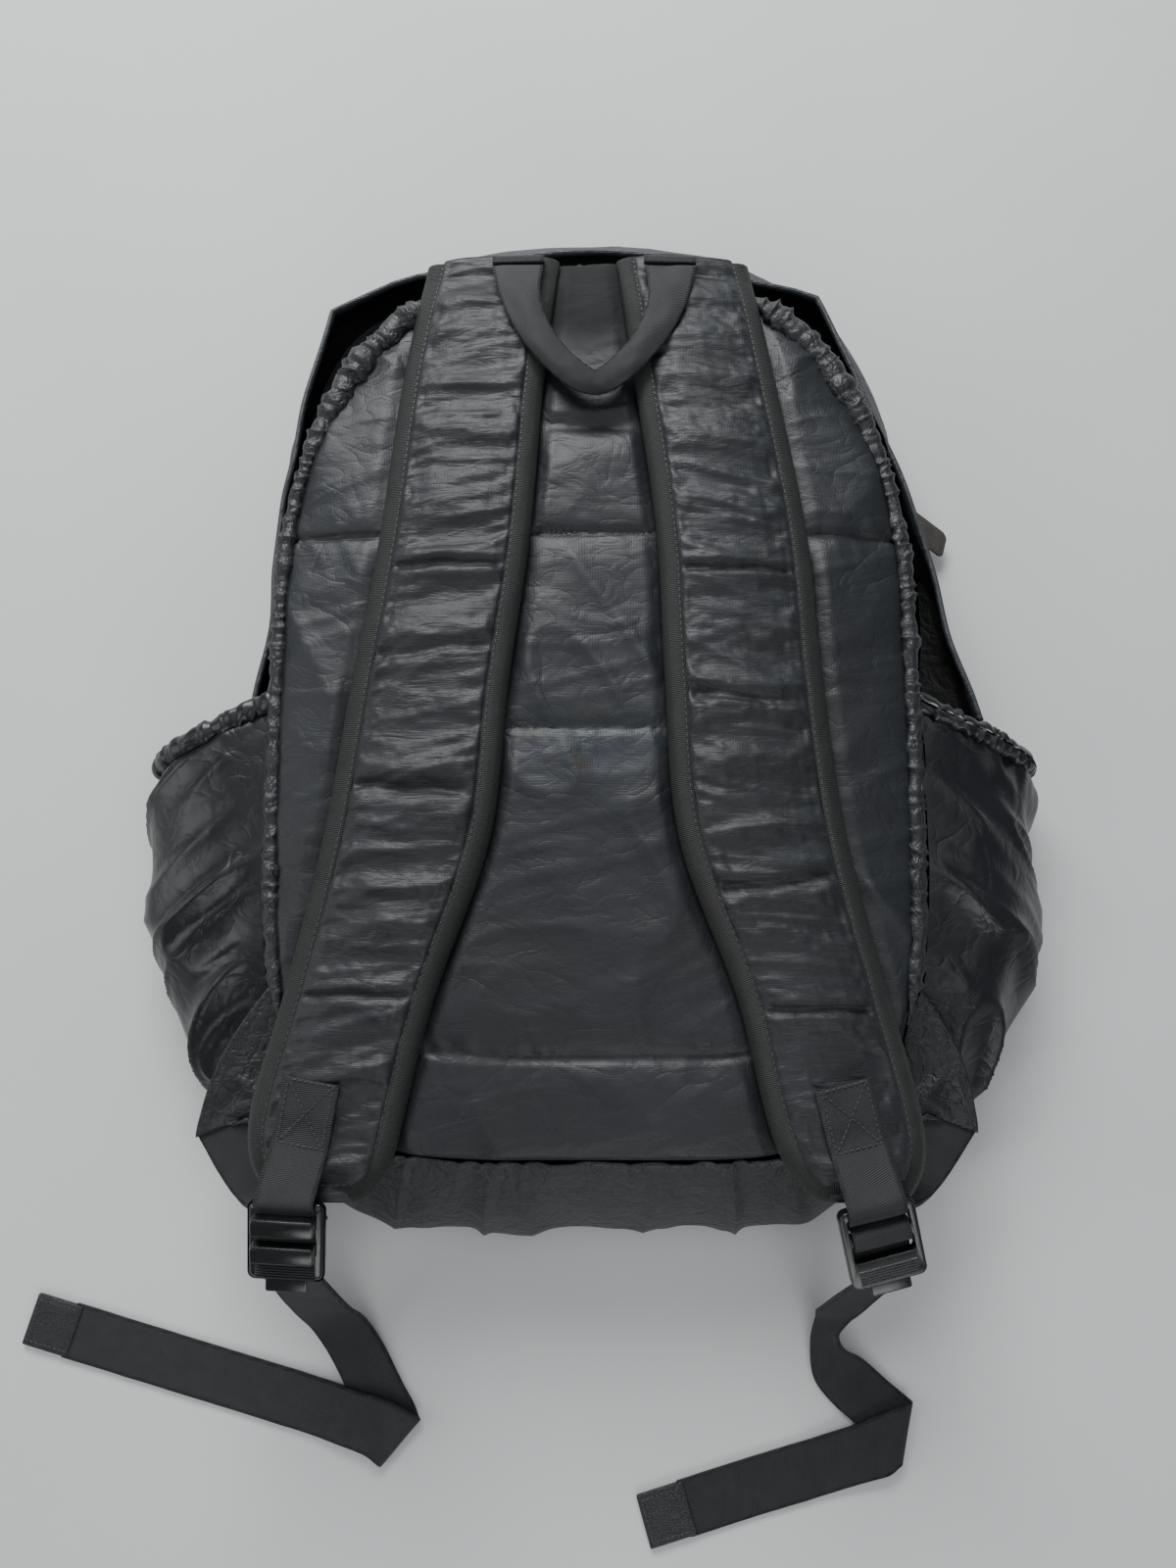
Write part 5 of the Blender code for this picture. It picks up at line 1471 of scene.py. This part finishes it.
PATCH_LIFT = 13.6
BUCKLE_THREAD = ((-7.4, -5.5), (-7.6, -1), (-8.6, 3), (-12, 4.1), (-15.4, 3), (-16.6, -1), (-19.5, -4.2),
                 (-25, -4.6), (-35, -5.4))
for side in ("left", "right"):
    buckle = make_ladder_lock(side)
    dress(buckle, black_acetal, "buckle_" + side, "acetal", "ladder_lock_" + side)
    points, length = ribbon_points(patch_route(side), 12, 11, 141)
    patch = webbing_cloth("strap_webbing_patch_" + side, points, length)
    dress(patch, twill_webbing, "strap_" + side, "webbing", "strap_webbing_" + side)
    flat_rows = int(28.0 / (length * 1000) * len(points))
    flat = points[:flat_rows]
    box = [flat[1, 1], flat[1, -2], flat[-1, -2], flat[-1, 1], flat[1, 1]]
    crossed = [flat[1, 1], flat[-1, -2]], [flat[-1, 1], flat[1, -2]]
    for number, corners in enumerate((box, *crossed)):
        path = np.concatenate([np.linspace(start, end, 20) for start, end in zip(corners, corners[1:])])
        path[:, 2] += 0.0011
        row = stitches(f"patch_stitches_{side}_{number}", stitch_line(path, 0.0026), dark_thread, 0.0018)
        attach(row, "strap_" + side)
    points, length = ribbon_points(in_buckle(side, BUCKLE_THREAD), 8, 11, 143, 0.0001)
    threaded = webbing_cloth("buckle_webbing_loop_" + side, points, length)
    dress(threaded, twill_webbing, "buckle_" + side, "webbing", "buckle_webbing_" + side)


# ---- Lower anchors ----
# A triangular wing of doubled nylon is sewn into each side seam, with a fuzzy raw edge. The webbing
# comes out of its tip and runs under the strap's end to the buckle.

ANCHORS = {
    "left": {"start": (-172, -86, 47), "across": (23, 9, 2)},
    "right": {"start": (165, -84, 47), "across": (23, -9, -2)},
}
for side, flip in (("left", -1), ("right", 1)):
    start = np.array(ANCHORS[side]["start"], dtype=float)
    across_way = np.array(ANCHORS[side]["across"], dtype=float)
    matrix = buckle_matrix(side)
    target = np.array(matrix @ Vector((-flip * 0.002, -0.012, -0.012))) * 1000
    target_way = np.array(matrix.to_3x3() @ Vector((25.0, 0.0, 0.0)))
    middle = (start + target) / 2 + np.array((0.0, -12.0, -8.0))
    route = [(start, across_way), (middle, (across_way + target_way) / 2), (target, target_way)]
    points, length = ribbon_points(route, 40, 11, 151)
    run = webbing_cloth("webbing_run_cloth_" + side, points, length)
    dress(run, twill_webbing, "webbing_run_" + side, "webbing", "webbing_run_" + side)
    share, along = np.meshgrid(np.linspace(0.0, 1.0, 40), np.linspace(0.0, 1.0, 30))
    seam_y = (-0.020 - 0.068 * share)
    seam_z = 0.060 - 0.008 * share
    seam_x = flip * (wall_x(seam_y[0], seam_z[0]) + 0.0012)
    back = np.array((-across_way[1], across_way[0], 0.0))
    back /= np.linalg.norm(back)
    seam = np.stack((np.broadcast_to(seam_x, share.shape), seam_y, seam_z), axis=-1)
    tip = start * 0.001 - back * 0.0016 + (across_way * 0.00104 * flip) * (0.5 - share)[..., None]
    points = seam + (tip - seam) * along[..., None]
    crumple = 0.4 + creases(share * 0.05, along * 0.05, (0.012, 0.03), 155)
    points[..., 2] += 0.0030 * np.sin(pi * along) * crumple
    points[..., 2] += 0.0022 * np.clip((along - 0.85) / 0.15, 0, 1)
    points[..., 0] += flip * 0.0065 * np.sin(pi * along) ** 0.8 * (1 - share) ** 2
    points[..., 1] -= 0.0045 * np.sin(pi * along) ** 0.8 * share ** 2
    wing = cloth("anchor_wing_cloth_" + side, points, 0.0016, size=(0.068, 0.05), inside=(0.0, 0.0, 0.0))
    dress(wing, satin_nylon, "bag", "nylon", "anchor_wing_" + side)


# ---- Webbing tails ----
# The free end of each webbing lies on the floor. The right one turns over on itself once, and each is
# folded once more and ends in a small leather tab that is stitched on three sides.

TAIL_ROUTES = {
    "left": (
        ((-126, -169, 34), (25, 2, 0)), ((-121, -182, 12), (24.5, 5, 0)), ((-114, -196, 3), (24, 7, 0)),
        ((-104, -215, 1), (23.5, 8.6, 0)), ((-97, -228, 1), (21, 16, 0)),
        ((-93.5, -235.5, 1.8), (18.7, 20.7, 0)), ((-92.5, -236.5, 3.2), (18.7, 20.7, 0)),
        ((-94, -235, 4.6), (18.7, 20.7, 0)), ((-104, -229.5, 4.4), (11, 23.5, 0)),
        ((-119, -225, 3.6), (6.7, 24.1, 0)), ((-140, -219, 1.4), (6.7, 24.1, 0)),
        ((-190, -205, 1), (6.5, 24.1, 0)), ((-250, -188, 1), (6, 24.3, 0)),
    ),
    "right": (
        ((112, -166, 46), (20, 4, 12)), ((110, -177, 25), (10, 2, 22)), ((109, -188, 14.5), (9, 8, 21)),
        ((112, -200, 9), (13, 15, 13)), ((121, -209, 3), (16, 19, 3)), ((133, -219.5, 1.3), (16.2, 19.1, 0)),
        ((143, -228, 1.2), (10, 25, 0)), ((147, -231, 1.8), (5.9, 27.7, 0)),
        ((148.2, -232, 3.2), (5.9, 27.7, 0)), ((146.8, -233, 4.6), (5.9, 27.7, 0)),
        ((138, -237, 4.4), (-2, 27, 0)), ((125, -241.5, 3.6), (-6.5, 24.2, 0)),
        ((105, -248, 1.4), (-6.9, 24, 0)), ((75, -256.5, 1), (-6.9, 24, 0)), ((46, -265, 1), (-6.5, 24.1, 0)),
    ),
}
TAB_SIZE = (0.023, 0.024, 0.0026)
TAB_SEAM = 0.0095


def make_tab_leather():
    finish = Finish("black_leather", (0.0085, 0.0085, 0.0090), 0.42)
    places = finish.places()
    finish.leather_grain(places, 900.0)
    finish.shades(finish.noise(places, 150.0), 0.7, 1.5)
    return finish.material


black_leather = make_tab_leather()
for side in ("left", "right"):
    outlet, outlet_way = in_buckle(side, BUCKLE_THREAD)[-1]
    outlet = np.array(outlet)
    first = np.array(TAIL_ROUTES[side][0][0], dtype=float)
    start = outlet + (first - outlet) / np.linalg.norm(first - outlet) * 0.8
    route = [(start, outlet_way)] + [(np.array(middle), np.array(way)) for middle, way in TAIL_ROUTES[side]]
    last_middle, last_way = np.array(route[-1][0], dtype=float), route[-1][1]
    onward = last_middle - np.array(route[-2][0], dtype=float)
    route[-1] = (last_middle + onward / np.linalg.norm(onward) * 4.0, last_way)
    points, length = ribbon_points(route, 16, 13, 161)
    points[..., 2] = np.maximum(points[..., 2], WEBBING / 2 + 0.0001)
    tail = webbing_cloth("tail_webbing_cloth_" + side, points, length)
    dress(tail, twill_webbing, "tail_" + side, "webbing", "tail_webbing_" + side)
    ahead = np.array(route[-1][0]) - np.array(route[-2][0])
    heading = np.arctan2(ahead[1], ahead[0])
    way = np.array((np.cos(heading), np.sin(heading)))
    centre = last_middle[:2] * 0.001 + way * (0.0009 + TAB_SIZE[0] / 2)
    tab = box_piece("leather_tab_" + side, (0.0, 0.0, TAB_SIZE[2] / 2), TAB_SIZE, 0.0007)
    on_all(bpy.ops.mesh.subdivide, number_cuts=6)
    turn = Matrix.Translation(Vector((centre[0], centre[1], 0.0))) @ Matrix.Rotation(heading, 4, "Z")
    tab = settle(tab, turn)
    dress(tab, black_leather, "tail_" + side, "leather", "tail_tab_" + side)
    corners = np.array([(x * TAB_SEAM, y * TAB_SEAM, TAB_SIZE[2] + 0.0001)
                        for x, y in ((-1, 1), (1, 1), (1, -1), (-1, -1))])
    path = np.concatenate([np.linspace(start, end, 16) for start, end in zip(corners, corners[1:])])
    path = np.array([tuple(turn @ Vector(tuple(point))) for point in path])
    row = stitches("tab_stitches_" + side, stitch_line(path, 0.0024), dark_thread, 0.0016)
    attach(row, "tail_" + side)


# ---- Floor, light and camera ----
# A plain pale floor under the bag, a large soft light from its top side, and a weak fill.

floor = start_with(bpy.ops.mesh.primitive_plane_add, size=6.0, location=(0.0, 0.0, -0.0004))
floor.name = "floor"
floor_finish = Finish("pale_floor", (0.62, 0.62, 0.61), 0.75)
floor_finish.shades(floor_finish.noise(floor_finish.places(), 6.0), 0.97, 1.03)
floor.data.materials.append(floor_finish.material)


def soft_light(name, place, aim, size, power, colour=(1.0, 1.0, 1.0)):
    """A rectangular lamp that faces a place on the bag."""
    data = bpy.data.lights.new(name, "AREA")
    data.shape = "RECTANGLE"
    data.size, data.size_y = size
    data.energy = power
    data.color = colour
    lamp = bpy.data.objects.new(name, data)
    lamp.location = place
    lamp.rotation_euler = (Vector(aim) - Vector(place)).to_track_quat("-Z", "Y").to_euler()
    bpy.context.scene.collection.objects.link(lamp)


soft_light("key_light", (-0.35, 1.55, 1.15), (0.0, 0.1, 0.05), (1.3, 0.8), 46.0, (0.97, 0.985, 1.0))
soft_light("fill_light", (-1.5, -0.2, 0.9), (0.0, 0.1, 0.05), (1.0, 1.0), 7.0)
soft_light("top_light", (0.2, 0.1, 2.2), (0.0, 0.1, 0.0), (2.0, 2.0), 11.0)
soft_light("low_light", (0.3, -1.5, 0.9), (0.0, -0.1, 0.05), (1.2, 0.6), 8.0)
world = bpy.data.worlds.new("studio")
bpy.context.scene.world = world
world.use_nodes = True
world.node_tree.nodes["Background"].inputs["Color"].default_value = (0.80, 0.88, 1.0, 1.0)
world.node_tree.nodes["Background"].inputs["Strength"].default_value = 0.22

camera_data = bpy.data.cameras.new("camera")
camera_data.sensor_fit = "AUTO"
camera_data.sensor_width = 36.0
camera_data.lens = 27.05
camera_data.clip_start = 0.01
camera = bpy.data.objects.new("camera", camera_data)
camera.location = (-0.003, -0.030, 0.61)
camera.rotation_euler = (radians(10.4), 0.0, 0.0)
bpy.context.scene.collection.objects.link(camera)
bpy.context.scene.camera = camera
